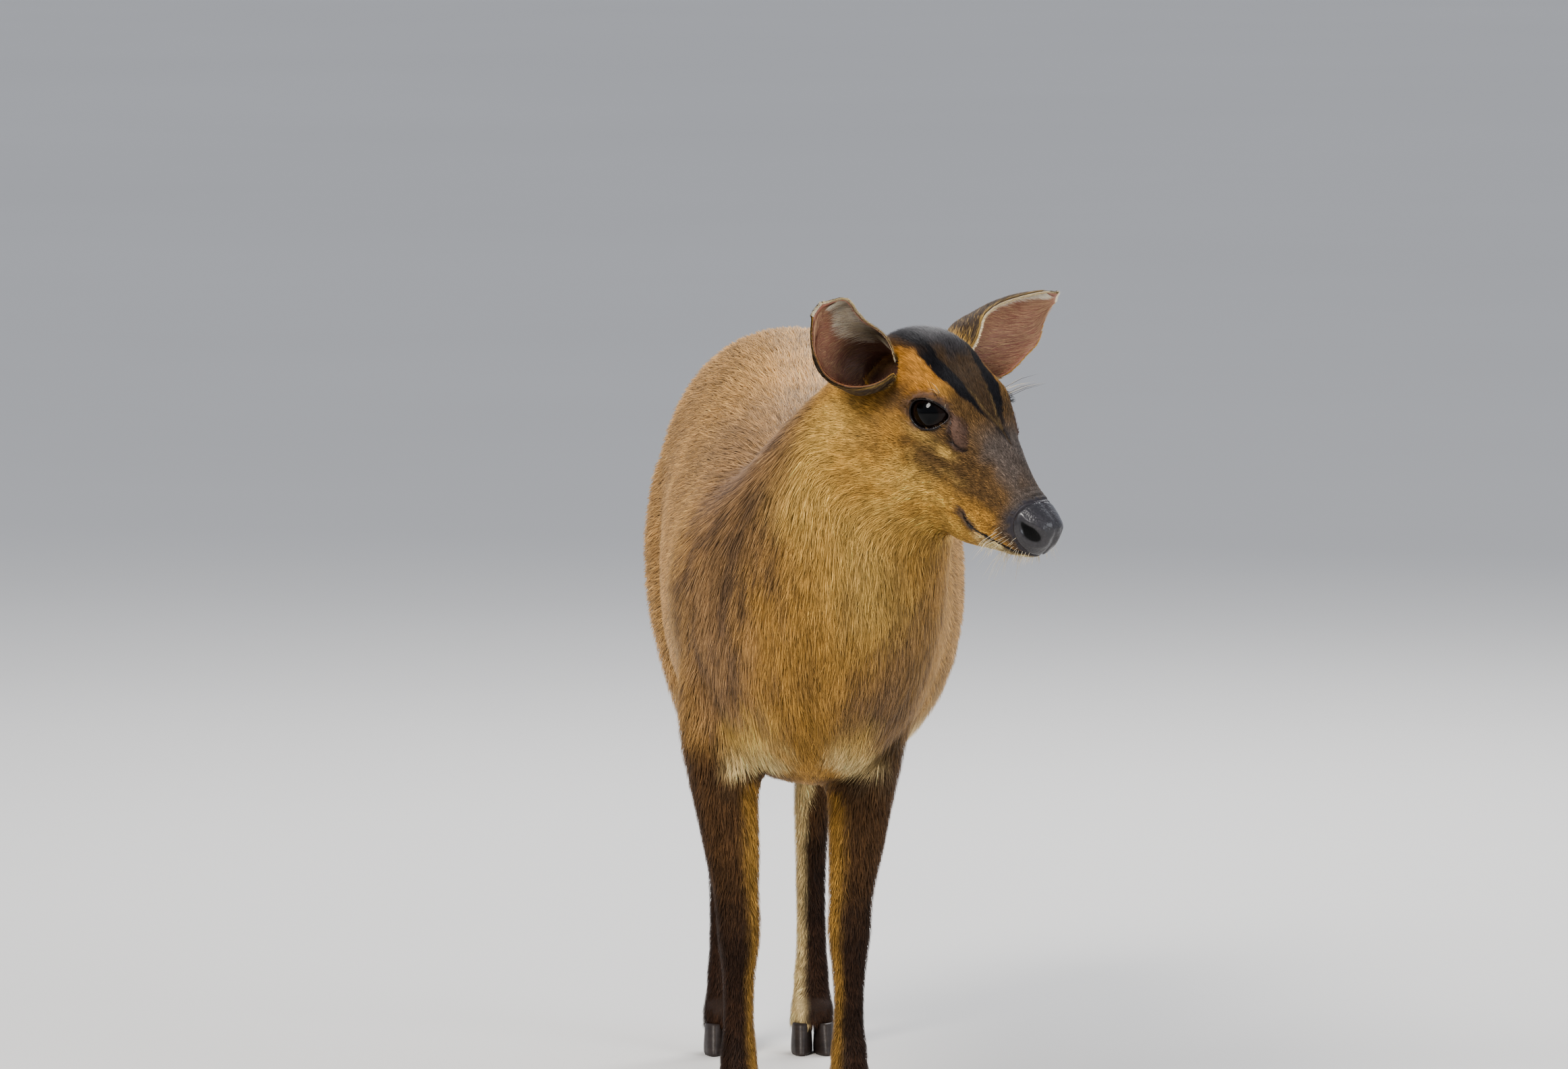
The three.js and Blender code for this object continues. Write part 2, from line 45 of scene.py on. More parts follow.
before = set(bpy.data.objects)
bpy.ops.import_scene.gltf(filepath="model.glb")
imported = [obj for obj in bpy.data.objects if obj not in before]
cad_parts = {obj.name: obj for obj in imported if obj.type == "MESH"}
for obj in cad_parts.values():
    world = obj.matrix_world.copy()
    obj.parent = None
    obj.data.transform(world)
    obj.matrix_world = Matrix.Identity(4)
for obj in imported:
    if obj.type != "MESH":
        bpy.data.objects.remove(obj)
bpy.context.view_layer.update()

MM = 0.001

# How far the solids are swollen in millimetres, so that the gaps between them close
JOIN = 0.35
FLESH = ["torso", "neck", "head", "nose"] + [
    f"{leg}_{side}_{part}"
    for leg in ("foreleg", "hindleg")
    for side in ("left", "right")
    for part in ("upper", "lower", "pastern")
]
CLAWS = [
    f"{claw}_{leg}_{side}_{toe}"
    for claw in ("hoof", "dewclaw")
    for leg in ("foreleg", "hindleg")
    for side in ("left", "right")
    for toe in ("outer", "inner")
]

# The head's own frame, in millimetres: x to her left, -y towards the nose, z up, from between the eyes
HEAD_DROP = math.radians(30)
HEAD_IN_FIGURE = np.array((106.0, -122.0, 474.0))
EYE_AT = np.array((25.0, 4.4, -2.0))
EYE_MIDDLE = Vector((0, *EYE_AT[1:])) * MM
EYE_RADIUS = 14.0
EYE_LOOK = np.array((0.955, -0.28, 0.08))
EYE_LONG = 12.0
EYE_TALL = 9.2
IRIS_LONG, IRIS_TALL = 10.4, 8.6
CORNEA_WIDE, CORNEA_HIGH = 9, 0.7
UPPER_LID = 0.86
# The rolled edge of the lids, as rings: how wide past the opening and how high above the eyeball
LID_BORDER = (2.5, 1.8)
LID_ROLL = ((1.75, 2.2), (1.0, 2.0), (0.4, 1.35), (0.05, 0.5), (0.1, -0.2), (0.9, -1.2))
# The scent gland's fold below the inner corner of the eye
GLAND_AT = np.array((27.3, -18.0, 0.2))
GLAND_TURN = math.radians(-17)
GLAND_LEAN = math.radians(46)
GLAND_LONG = 12.5
GLAND_WIDE = 3.4
NOSE_PAD = np.array((24.0, 26.0, 17.5))
NOSE_PAD_AT = np.array((0.0, -98.0, -29.0))
NOSE_CELL = 0.7
NOSTRIL_AT = np.array((14.8, -93.3, -31.0))
NOSTRIL_TURN = math.radians(34)
NOSTRIL_TILT = math.radians(12)
NOSTRIL_DEEP, NOSTRIL_LONG, NOSTRIL_TALL = 4.4, 8.6, 4.0
NOSTRIL_ROOM = 7.0
# The mouth's line from its front to its corner: place along the head, and height
MOUTH_LINE = np.array(
    [(-97, -46), (-86, -49.2), (-76, -50.6), (-66, -52.2), (-57, -53.4), (-50, -52), (-44.5, -48)]
)
# The forehead's stripes: place along the head, distance of the middle line from the head's, and half width
STRIPE_LINE = np.array(
    [
        (-43, 1.2, 0.8),
        (-34, 2.2, 1.1),
        (-28.5, 3.8, 1.4),
        (-22, 6.6, 1.9),
        (-18, 9.0, 2.5),
        (-12, 12.2, 3.6),
        (-8, 14.0, 5.0),
        (0, 16.8, 6.2),
        (10, 18.2, 5.6),
        (20, 19.0, 4.8),
        (30, 20.4, 5.4),
        (40, 20.0, 7.0),
        (62, 15.0, 9.0),
    ]
)

# An ear is a leaf rolled into a cup: radius, half angle, step back and twist of its arc, from base to tip
EAR_LENGTH = 79.0
EAR_WALL = 1.3
EAR_CUP_DEPTH = 8.0
EAR_LEAN_POWER = 1.05
EAR_ROLL = np.array(
    [
        (14.3, 159, 2.3, 8.6),
        (20.6, 135.5, 5, 9.5),
        (22.6, 101, 5.9, 6.8),
        (24.8, 83, 6, -0.5),
        (25.3, 73, 4.7, -11),
        (23.9, 55.6, -0.7, -19),
        (19.7, 15, -4.5, -33.5),
    ]
)
# Each ear's root, the way it points and the way its cup opens
EARS = {
    "left": ((35.7, 46.4, 4.5), (0.899, 0.021, 0.438), (-0.009, -0.928, 0.373)),
    "right": ((-37.5, 45.5, 2.5), (-0.914, 0.216, 0.343), (0.017, -0.819, 0.573)),
}

# The figure's own numbers, in millimetres: its middle plane, the cut between head and neck, the withers, and
# the legs' middles, their top, and the place between fore and hind ones
FIGURE_MIDDLE = 3.0
NECK_CUT_AT = np.array((69, -79, 437))
NECK_CUT_WAY = np.array((0.53, -0.52, 0.64))
WITHERS_AT = (16, 428)
LEG_MIDDLES = ((40, 0), (-35, 0), (36, 390), (-31, 390))
LEG_TOP = 215
FORE_AND_HIND = 180

# The coat's pieces: what they grow on, their number, their share of its tufts, and where they start and end
COAT_PIECES = (
    ("body", 1, 0.28, -200, -30),
    ("body", 2, 0.26, -30, 90),
    ("body", 3, 0.24, 90, 250),
    ("body", 4, 0.22, 250, 600),
    ("head", 1, 0.5, -200, -8),
    ("head", 2, 0.5, -8, 120),
    ("leg", 1, 0.5, -200, 180),
    ("leg", 2, 0.5, 180, 600),
)
TUFT_ON_UNWRAP = 0.0015
WHISKER_WIDE = 0.26
EAR_SEED = 900
WHISKER_SEED = 700

# The photograph's camera
CAMERA_TURN = math.radians(-2.5)
CAMERA_RISE = math.radians(5)
CAMERA_AWAY = 7.7
CAMERA_TARGET = np.array((-6.5, -60.0, 389.8))
PHOTO_WIDTH = 2324
METRES_PER_PIXEL = 0.00043
SENSOR = 36.0

# The studio's lights: place from the trunk's middle in metres, width, power and colour
STUDIO_AIM = (20, 60, 380)
LIGHTS = {
    "key": ((-1.4, -2.2, 2.2), 1.3, 95, (1, 0.96, 0.9)),
    "fill": ((2.4, -1.8, 0.9), 1.8, 28, (0.92, 0.96, 1)),
    "rim": ((0.6, 2.2, 1.9), 1.2, 55, (1, 1, 1)),
}


def tone(red, green, blue):
    """A colour given in 0 to 255 steps as a screen shows it, made linear."""
    steps = np.array((red, green, blue)) / 255
    linear = np.where(steps <= 0.04045, steps / 12.92, ((steps + 0.055) / 1.055) ** 2.4)
    return tuple(float(v) for v in linear)


def node_middle(name):
    low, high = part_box(name)
    return (low + high) / 2


def head_place():
    """The head's frame as a matrix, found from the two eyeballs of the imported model."""
    left, right = node_middle("eye_left"), node_middle("eye_right")
    across = left - right
    turn = Matrix.Rotation(math.atan2(across.y, across.x), 4, "Z") @ Matrix.Rotation(HEAD_DROP, 4, "X")
    return Matrix.Translation((left + right) / 2 - turn @ EYE_MIDDLE) @ turn


HEAD = head_place()
HEAD_TURN = np.array(HEAD.to_3x3())
HEAD_AT = np.array(HEAD.translation)
FIGURE_AT = HEAD_AT - HEAD_IN_FIGURE * MM


def to_head(points):
    """Metres in the row frame to millimetres in the head's frame."""
    return (points - HEAD_AT) @ HEAD_TURN / MM


def from_head(points):
    return np.asarray(points, float) * MM @ HEAD_TURN.T + HEAD_AT


def to_figure(points):
    """Metres in the row frame to millimetres in the figure's own numbers."""
    return (points - FIGURE_AT) / MM


def from_figure(points):
    return np.asarray(points, float) * MM + FIGURE_AT


def unit(vectors):
    vectors = np.asarray(vectors, float)
    return vectors / np.maximum(np.linalg.norm(vectors, axis=-1, keepdims=True), 1e-12)


def rise(low, high, value):
    """0 below low, 1 above high, smooth between; falls where low is above high."""
    t = np.clip((np.asarray(value, float) - low) / (high - low), 0, 1)
    return t * t * (3 - 2 * t)


def bump_at(value, middle, width):
    return np.exp(-(((value - middle) / width) ** 2))


def mix(a, b, share):
    share = np.asarray(share, float)[..., None]
    return np.asarray(a) * (1 - share) + np.asarray(b) * share


class Waves:
    """Smooth noise between -1 and 1: a sum of seeded plane waves."""

    def __init__(self, seed, size, count=24, stretch=(1, 1, 1)):
        draw = np.random.default_rng(seed)
        self.way = draw.normal(size=(count, 3)) / np.array(stretch) * (2.2 / size)
        self.start = draw.uniform(0, 2 * np.pi, count)
        self.scale = 1.6 / math.sqrt(count)

    def __call__(self, points):
        return np.clip(np.sin(points @ self.way.T + self.start).sum(1) * self.scale, -1, 1)


# Settings


class SkinSettings(bpy.types.PropertyGroup):
    """How fine the skin is"""

    cell: FloatProperty(
        name="Cell", description="Edge of the skin's cells on the body", default=3.4 * MM, unit="LENGTH"
    )


class CoatSettings(bpy.types.PropertyGroup):
    """How thick and fine the coat is"""

    body_tufts: IntProperty(name="Body tufts", description="Tufts on the trunk and neck", default=230000)
    face_tufts: IntProperty(name="Face tufts", description="Tufts on the head", default=140000)
    leg_tufts: IntProperty(name="Leg tufts", description="Tufts on the legs", default=60000)
    body_wide: FloatProperty(
        name="Body tuft width", description="Width of a tuft on the trunk", default=0.66 * MM, unit="LENGTH"
    )
    face_wide: FloatProperty(
        name="Face tuft width", description="Width of a tuft on the head", default=0.36 * MM, unit="LENGTH"
    )


def colour(name, description, red, green, blue):
    return FloatVectorProperty(
        name=name, description=description, default=tone(red, green, blue), subtype="COLOR", min=0, max=1
    )


class ColourSettings(bpy.types.PropertyGroup):
    """The coat's and the bare parts' colours"""

    back: colour("Back", "Golden brown of the back and flanks", 188, 146, 90)
    dusk: colour("Dusk", "Grey brown of the nape and the shaded bands", 118, 94, 76)
    chest: colour("Chest", "Golden brown of the chest and neck", 172, 132, 68)
    straw: colour("Straw", "Straw of the throat", 212, 176, 104)
    cream: colour("Cream", "Cream of the belly and the inner legs", 236, 212, 160)
    orange: colour("Orange", "Orange of the temples and tail", 178, 126, 57)
    cheek: colour("Cheek", "Yellow ochre of the cheeks", 176, 132, 66)
    grizzle: colour("Grizzle", "Dark grizzled brown of the muzzle", 84, 64, 42)
    bridge: colour("Bridge", "Grey brown of the bridge of the nose", 94, 84, 77)
    stripe: colour("Stripe", "Black of the forehead's stripes", 20, 18, 22)
    leg: colour("Leg", "Dark brown of the legs' fronts", 74, 50, 34)
    bare: colour("Bare skin", "Mauve brown of the bare skin round the eyes", 100, 80, 72)
    lid: colour("Lid", "Black brown of the lids' margins and the lips", 26, 19, 19)
    nose: colour("Nose", "Slate of the nose pad", 50, 46, 50)
    ear: colour("Ear", "Pink of the ears' inner skin", 172, 126, 106)
    horn: colour("Horn", "Dark horn of the hooves", 46, 38, 34)


def palette(name):
    return np.array(getattr(bpy.context.scene.muntjac_colours, name))


def palettes(*names):
    return {name: palette(name) for name in names}


# Meshes


def new_piece(name, mesh, material, replaces=()):
    """A finished object at the origin that rides on the body, and stands for the named nodes."""
    piece = bpy.data.objects.new(name, mesh)
    bpy.context.scene.collection.objects.link(piece)
    mesh.materials.append(material)
    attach(piece, "root")
    if replaces:
        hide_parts(*replaces)
    return piece


def merged_copy(names, grow=0.0):
    """The named CAD nodes as one bmesh with their corners merged, each swollen by grow metres."""
    whole = bmesh.new()
    for name in names:
        part = bmesh.new()
        part.from_mesh(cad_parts[name].data)
        bmesh.ops.remove_doubles(part, verts=part.verts, dist=1e-5)
        part.normal_update()
        for vert in part.verts:
            vert.co += vert.normal * grow
        mesh = bpy.data.meshes.new("part")
        part.to_mesh(mesh)
        part.free()
        whole.from_mesh(mesh)
        bpy.data.meshes.remove(mesh)
    return whole


def remeshed(bm, cell):
    """The closed surface round everything in bm, in even cells, as a new bmesh."""
    mesh = bpy.data.meshes.new("rough")
    bm.to_mesh(mesh)
    bm.free()
    rough = bpy.data.objects.new("rough", mesh)
    bpy.context.scene.collection.objects.link(rough)
    change = rough.modifiers.new("Cells", "REMESH")
    change.mode = "VOXEL"
    change.voxel_size = cell
    even = bpy.data.meshes.new_from_object(rough.evaluated_get(bpy.context.evaluated_depsgraph_get()))
    bpy.data.objects.remove(rough)
    bpy.data.meshes.remove(mesh)
    made = bmesh.new()
    made.from_mesh(even)
    made.verts.index_update()
    bpy.data.meshes.remove(even)
    return made


def smooth_mesh(bm, name):
    """The finished bmesh as a mesh with smooth shading."""
    for face in bm.faces:
        face.smooth = True
    mesh = bpy.data.meshes.new(name)
    bm.to_mesh(mesh)
    bm.free()
    return mesh


def put_in_order(bm, faces):
    """Sorts new faces by their corners, because Blender makes them in another order in each run."""
    bm.verts.index_update()
    bm.faces.index_update()
    slots = sorted(face.index for face in faces)
    faces = sorted(faces, key=lambda face: sorted(vert.index for vert in face.verts))
    for face, slot in zip(faces, slots):
        face.index = slot
    bm.faces.sort()


def facings(bm):
    return np.array([vert.normal for vert in bm.verts])


def face_middles(bm):
    return np.array([face.calc_center_median() for face in bm.faces])


def places(bm):
    return np.array([vert.co for vert in bm.verts])


def set_places(bm, points):
    for vert, point in zip(bm.verts, points):
        vert.co = point
    bm.normal_update()


def relaxed(bm, points, share, times):
    """Points moved towards the mean of their neighbours; share is how far, for each point or for all."""
    edges = np.array([(edge.verts[0].index, edge.verts[1].index) for edge in bm.edges])
    ends, others = np.r_[edges[:, 0], edges[:, 1]], np.r_[edges[:, 1], edges[:, 0]]
    count = np.maximum(np.bincount(ends, minlength=len(points)), 1)
    share = np.broadcast_to(np.asarray(share, float), (len(points),))[:, None]
    for _ in range(times):
        sums = [np.bincount(ends, points[others, k], len(points)) for k in range(3)]
        mean = np.stack(sums, 1) / count[:, None]
        points = points + (mean - points) * share
    return points


def paint(mesh, name, values):
    """Stores a number or a colour for every vertex."""
    if np.ndim(values) == 1:
        layer = mesh.attributes.new(name, "FLOAT", "POINT")
        layer.data.foreach_set("value", np.asarray(values, np.float32))
    else:
        layer = mesh.color_attributes.new(name, "FLOAT_COLOR", "POINT")
        full = np.ones((len(values), 4), np.float32)
        full[:, :3] = np.clip(values, 0, 1)
        layer.data.foreach_set("color", full.ravel())


def mesh_points(mesh):
    points = np.empty(len(mesh.vertices) * 3, np.float32)
    mesh.vertices.foreach_get("co", points)
    return points.reshape(-1, 3).astype(float)


def mesh_normals(mesh):
    normals = np.empty(len(mesh.vertices) * 3, np.float32)
    mesh.vertices.foreach_get("normal", normals)
    return normals.reshape(-1, 3).astype(float)


# Materials


class Nodes:
    """A material's nodes, added and linked by short calls."""

    def __init__(self, name):
        self.material = bpy.data.materials.new(name)
        self.material.use_nodes = True
        self.tree = self.material.node_tree
        self.shader = self.tree.nodes["Principled BSDF"]

    def add(self, kind, inputs=None, **settings):
        node = self.tree.nodes.new(kind)
        for key, value in settings.items():
            setattr(node, key, value)
        for key, value in (inputs or {}).items():
            self.put(node.inputs[key], value)
        return node

    def put(self, socket, value):
        if isinstance(value, bpy.types.NodeSocket):
            self.tree.links.new(value, socket)
        else:
            socket.default_value = value

    def set(self, **inputs):
        for key, value in inputs.items():
            self.put(self.shader.inputs[key.replace("_", " ")], value)

    def place(self, scale=(1, 1, 1)):
        coordinates = self.add("ShaderNodeTexCoord")
        mapping = self.add("ShaderNodeMapping", {"Vector": coordinates.outputs["Object"], "Scale": scale})
        return mapping.outputs["Vector"]

    def noise(self, size, detail=4.0, rough=0.55, scale=(1, 1, 1)):
        """Noise whose lumps are about size metres across."""
        inputs = {"Vector": self.place(scale), "Scale": 1 / size, "Detail": detail, "Roughness": rough}
        return self.add("ShaderNodeTexNoise", inputs).outputs["Fac"]

    def cells(self, size):
        inputs = {"Vector": self.place(), "Scale": 1 / size}
        return self.add("ShaderNodeTexVoronoi", inputs).outputs["Distance"]

    def attribute(self, name, output="Color"):
        return self.add("ShaderNodeAttribute", attribute_name=name).outputs[output]

    def math(self, operation, first, second=0.0):
        node = self.add("ShaderNodeMath", operation=operation)
        self.put(node.inputs[0], first)
        self.put(node.inputs[1], second)
        return node.outputs[0]

    def span(self, value, low, high, to_low=0.0, to_high=1.0):
        inputs = {"Value": value, "From Min": low, "From Max": high, "To Min": to_low, "To Max": to_high}
        return self.add("ShaderNodeMapRange", inputs).outputs["Result"]

    def blend(self, share, first, second, kind="MIX"):
        node = self.add("ShaderNodeMix", data_type="RGBA", blend_type=kind)
        self.put(node.inputs["Factor"], share)
        self.put(node.inputs[6], first)
        self.put(node.inputs[7], second)
        return node.outputs[2]

    def relief(self, height, depth, under=None):
        inputs = {"Height": height, "Distance": depth, "Strength": 1.0}
        if under is not None:
            inputs["Normal"] = under
        return self.add("ShaderNodeBump", inputs).outputs["Normal"]


def rgba(values):
    return (*[float(v) for v in values], 1.0)


def hide_material():
    """Short hair lying flat on the skin, and smooth bare skin where the Bare value says so."""
    nodes = Nodes("short_hair")
    mottled = nodes.span(nodes.noise(1.2 * MM), 0.3, 0.7, 0.7, 1.2)
    shade = nodes.blend(1.0, nodes.attribute("Coat"), mottled, "MULTIPLY")
    bare = nodes.attribute("Bare", "Fac")
    wet = nodes.attribute("Wet_and_nostril_shade", "Fac")
    strands = nodes.noise(0.7 * MM, 2.0, 0.6, (1, 1, 0.35))
    pores = nodes.cells(0.8 * MM)
    height = nodes.add("ShaderNodeMix", {"Factor": bare, "A": strands, "B": pores}).outputs["Result"]
    nodes.set(
        Base_Color=shade,
        Roughness=nodes.span(wet, 0, 1, 0.72, 0.22),
        Normal=nodes.relief(height, nodes.span(bare, 0, 1, 0.35 * MM, 0.12 * MM)),
        Specular_IOR_Level=0.35,
    )
    return nodes.material


def hair_material():
    nodes = Nodes("coat_hair")
    streak = nodes.span(nodes.noise(0.6 * MM, 2.0), 0.25, 0.75, 0.86, 1.1)
    nodes.set(
        Base_Color=nodes.blend(1.0, nodes.attribute("Coat"), streak, "MULTIPLY"),
        Roughness=nodes.span(nodes.noise(30 * MM), 0, 1, 0.5, 0.68),
        Specular_IOR_Level=0.18,
        Sheen_Weight=0.04,
        Sheen_Roughness=0.4,
    )
    return nodes.material


def eye_material():
    """A near black eye: a level oval pupil in a dark brown iris, under a wet cornea."""
    nodes = Nodes("eyeball")
    reach = nodes.attribute("Iris", "Fac")
    rays = nodes.noise(0.9 * MM, 3.0)
    iris = nodes.blend(rays, rgba(tone(34, 20, 14)), rgba(tone(14, 8, 7)))
    pupil = nodes.blend(nodes.span(reach, 0.72, 0.9), rgba(tone(2, 2, 3)), iris)
    nodes.set(
        Base_Color=nodes.blend(nodes.span(reach, 0.98, 1.12), pupil, rgba(tone(30, 18, 15))),
        Roughness=nodes.span(rays, 0, 1, 0.03, 0.07),
        Specular_IOR_Level=0.1,
        Coat_Weight=1.0,
        Coat_Roughness=0.02,
        Coat_IOR=1.22,
    )
    return nodes.material


def nose_material():
    """Damp pebbled skin with painted shade in the grooves between the pebbles, smooth on the nostrils' rims,
    and painted black inside them as the shade of their openings.
    """
    nodes = Nodes("nose_pad")
    pebbles = nodes.cells(1.5 * MM)
    fine = nodes.noise(0.5 * MM)
    smooth = nodes.attribute("Bare", "Fac")
    depth = nodes.attribute("Wet_and_nostril_shade", "Fac")
    rounded = nodes.span(pebbles, 0.0, 0.9, 1.0, 0.0)
    height = nodes.math("MULTIPLY", rounded, nodes.span(smooth, 0, 1, 1.0, 0.1))
    slate = palette("nose")
    base = nodes.blend(nodes.span(nodes.noise(6 * MM), 0.35, 0.65), rgba(slate), rgba(slate * 0.62))
    # Darker in the grooves between the pebbles: painted shade
    pebbles_with_groove_shade = nodes.blend(nodes.span(pebbles, 0.2, 0.8), base, rgba(slate * 0.45))
    nodes.set(
        # Black inside the nostrils: painted shade of their openings, which the pad's surface does not have
        Base_Color=nodes.blend(depth, pebbles_with_groove_shade, rgba(tone(3, 2, 2))),
        Roughness=nodes.math("MAXIMUM", nodes.span(fine, 0.3, 0.7, 0.32, 0.5), depth),
        Normal=nodes.relief(height, 0.26 * MM),
        Coat_Weight=nodes.span(depth, 0, 1, 0.55, 0.0),
        Coat_Roughness=0.2,
    )
    return nodes.material


def ear_material():
    """Thin pink skin inside the cup and short hair behind it."""
    nodes = Nodes("ear_skin")
    inside = nodes.attribute("Bare", "Fac")
    veins = nodes.span(nodes.noise(9 * MM, 6.0, 0.6), 0.35, 0.65)
    veined = nodes.blend(veins, rgba((1, 1, 1)), rgba((0.72, 0.56, 0.55)))
    pink = nodes.blend(1.0, nodes.attribute("Coat"), veined, "MULTIPLY")
    nodes.set(
        Base_Color=nodes.blend(inside, nodes.attribute("Coat"), pink),
        Roughness=nodes.span(inside, 0, 1, 0.75, 0.5),
        Normal=nodes.relief(nodes.noise(0.8 * MM), 0.25 * MM),
        Subsurface_Weight=0.15,
        Subsurface_Scale=0.002,
    )
    return nodes.material


def horn_material():
    nodes = Nodes("horn")
    rings = nodes.noise(3 * MM, 3.0, 0.5, (0.15, 0.15, 1))
    grain = nodes.noise(0.6 * MM, 3.0, 0.6, (1, 1, 0.1))
    dark = palette("horn")
    dusty = nodes.blend(nodes.span(rings, 0.35, 0.7), rgba(dark), rgba(dark * 1.9))
    nodes.set(
        Base_Color=nodes.blend(nodes.span(grain, 0.3, 0.8, 0, 0.5), dusty, rgba(dark * 0.5)),
        Roughness=nodes.span(grain, 0, 1, 0.35, 0.6),
        Normal=nodes.relief(rings, 0.3 * MM, nodes.relief(grain, 0.08 * MM)),
    )
    return nodes.material


def whisker_material():
    nodes = Nodes("whisker")
    streak = nodes.span(nodes.noise(5 * MM), 0.3, 0.7, 0.75, 1.05)
    nodes.set(Base_Color=nodes.blend(1.0, nodes.attribute("Coat"), streak, "MULTIPLY"), Roughness=0.4)
    return nodes.material


# Places on the head


def eye_axes():
    """The eye's directions on her left side: ahead, along the lids and up across them."""
    ahead = unit(EYE_LOOK)
    along = np.array((0, -1, 0.38))
    along = unit(along - ahead * (along @ ahead))
    up = np.cross(ahead, along)
    return ahead, along, up if up[2] > 0 else -up


def mirrored(points, side):
    return points * np.array((side, 1, 1))


def turned(a, b, angle):
    """Two coordinates in axes turned back by an angle."""
    return a * math.cos(angle) - b * math.sin(angle), a * math.sin(angle) + b * math.cos(angle)


def eye_reach(local, side):
    """Distance beyond the lids' opening, in millimetres, and the place along it, across it and ahead."""
    ahead, along, up = eye_axes()
    rel = mirrored(local, side) - EYE_AT
    a, b, d = rel @ along, rel @ up, rel @ ahead
    tall = EYE_TALL * np.where(b > 0, UPPER_LID, 1.0)
    angle = np.arctan2(b / tall, a / EYE_LONG)
    size = np.hypot(a / EYE_LONG, b / tall)
    return (size - 1) * np.hypot(EYE_LONG * np.cos(angle), tall * np.sin(angle)), a, b, d


def lid_ring(angle, wide, high):
    """Points of a ring round the opening: wide beyond its edge, high above the eyeball."""
    ahead, along, up = eye_axes()
    corner = 1 + 0.07 * np.maximum(0, np.cos(angle)) ** 6
    a = (EYE_LONG + wide) * np.cos(angle) * corner
    tall = EYE_TALL * np.where(np.sin(angle) > 0, UPPER_LID, 1.0) + wide
    b = tall * np.sin(angle) * (1 - 0.1 * np.cos(angle))
    d = np.sqrt(np.maximum(0, (EYE_RADIUS + high) ** 2 - a * a - b * b))
    return EYE_AT + a[:, None] * along + b[:, None] * up + d[:, None] * ahead


def mouth_reach(local):
    """Signed height above the mouth's line, and 1 along its length but 0 past its corner."""
    y, z = local[:, 1], local[:, 2]
    return z - np.interp(y, *MOUTH_LINE.T), rise(-42, -46, y) * rise(-112, -100, y)


def stripe_reach(local):
    """Distance inside the stripes' middle line, towards the middle of the forehead, and their half width."""
    x, y = np.abs(local[:, 0]), local[:, 1]
    middle, half = [np.interp(y, STRIPE_LINE[:, 0], STRIPE_LINE[:, k]) for k in (1, 2)]
    return middle - x, half


def gland_reach(local, side):
    """The scent gland's fold in its own measure, 1 on its edge, and the place down, across and out of it."""
    rel = mirrored(local, side) - GLAND_AT
    x, y = turned(rel[:, 0], rel[:, 1], GLAND_TURN)
    across, up = turned(y, rel[:, 2], GLAND_LEAN)
    size = np.hypot(up / GLAND_LONG, across / (GLAND_WIDE - 0.08 * up))
    return size, -up, across, x


def smooth_steps(stations, t):
    """The stations' values at t from 0 to 1, along a smooth curve through all of them."""
    last = len(stations) - 1
    at = np.clip(t, 0, 1) * last
    i = np.minimum(at.astype(int), last - 1)
    f = (at - i)[..., None]
    before, after = np.maximum(i - 1, 0), np.minimum(i + 2, last)
    a, b = stations[i], stations[i + 1]
    slope_a, slope_b = (b - stations[before]) / 2, (stations[after] - a) / 2
    bend = 3 * (b - a) - 2 * slope_a - slope_b + f * (2 * (a - b) + slope_a + slope_b)
    return a + f * (slope_a + f * bend)


def ear_axes(name):
    """An ear's root, the way it points, the way it opens and the way across it."""
    base, aim, opening = [np.array(v, float) for v in EARS[name]]
    ahead = unit(aim)
    face = unit(opening - ahead * (opening @ ahead))
    return base, ahead, face, np.cross(face, ahead)


def ear_roots(local):
    """How far points lie within the hollow of an ear's cup, and in the ring of pale hair round its root."""
    hollow, ring = np.zeros(len(local)), np.zeros(len(local))
    for name in EARS:
        base, ahead, face, side = ear_axes(name)
        rel = local - base
        height = rel @ ahead
        share = np.clip(height / EAR_LENGTH, 0, 1)
        roll = smooth_steps(EAR_ROLL, share ** (1 / EAR_LEAN_POWER))
        middle = roll[:, 0] * share - roll[:, 2]
        away = np.hypot(rel @ side, rel @ face - middle)
        near = rise(-16, -10, height)
        hollow = np.maximum(hollow, rise(roll[:, 0] - 0.4, roll[:, 0] - 2.4, away) * near)
        ring = np.maximum(ring, rise(roll[:, 0] + 5, roll[:, 0] + 1, away) * near)
    return hollow, ring


def pad_reach(local):
    """1 on the border of the nose pad, less inside it and more outside."""
    return np.linalg.norm((local - NOSE_PAD_AT) / NOSE_PAD, axis=1)


def head_share(points):
    """1 on the head and 0 on the neck, from metres in the row frame."""
    return rise(-14, 14, (to_figure(points) - NECK_CUT_AT) @ unit(NECK_CUT_WAY))


def coat_depth(points):
    """How far under the coat's surface the skin lies, in millimetres."""
    local, figure = to_head(points), to_figure(points)
    head = head_share(points)
    y, z = local[:, 1], local[:, 2]
    on_head = 0.9 + 2.6 * rise(0, 60, y) + 2.0 * rise(-40, -75, z) * rise(-50, -10, y)
    leg = rise(300, 190, figure[:, 2])
    on_body = 4.6 + 1.2 * rise(0, -70, figure[:, 1]) - 0.6 * rise(100, 300, figure[:, 1])
    on_leg = 1.4 + 0.8 * rise(60, 190, figure[:, 2])
    on_leg = mix(on_leg[:, None], [0.2], rise(40, 26, figure[:, 2]))[:, 0]
    near_pad = rise(1.5, 1.12, pad_reach(local))
    on_head = mix(on_head[:, None], [0.15], near_pad)[:, 0]
    return mix(mix(on_body[:, None], on_leg[:, None], leg), on_head[:, None], head)[:, 0]


# Markings


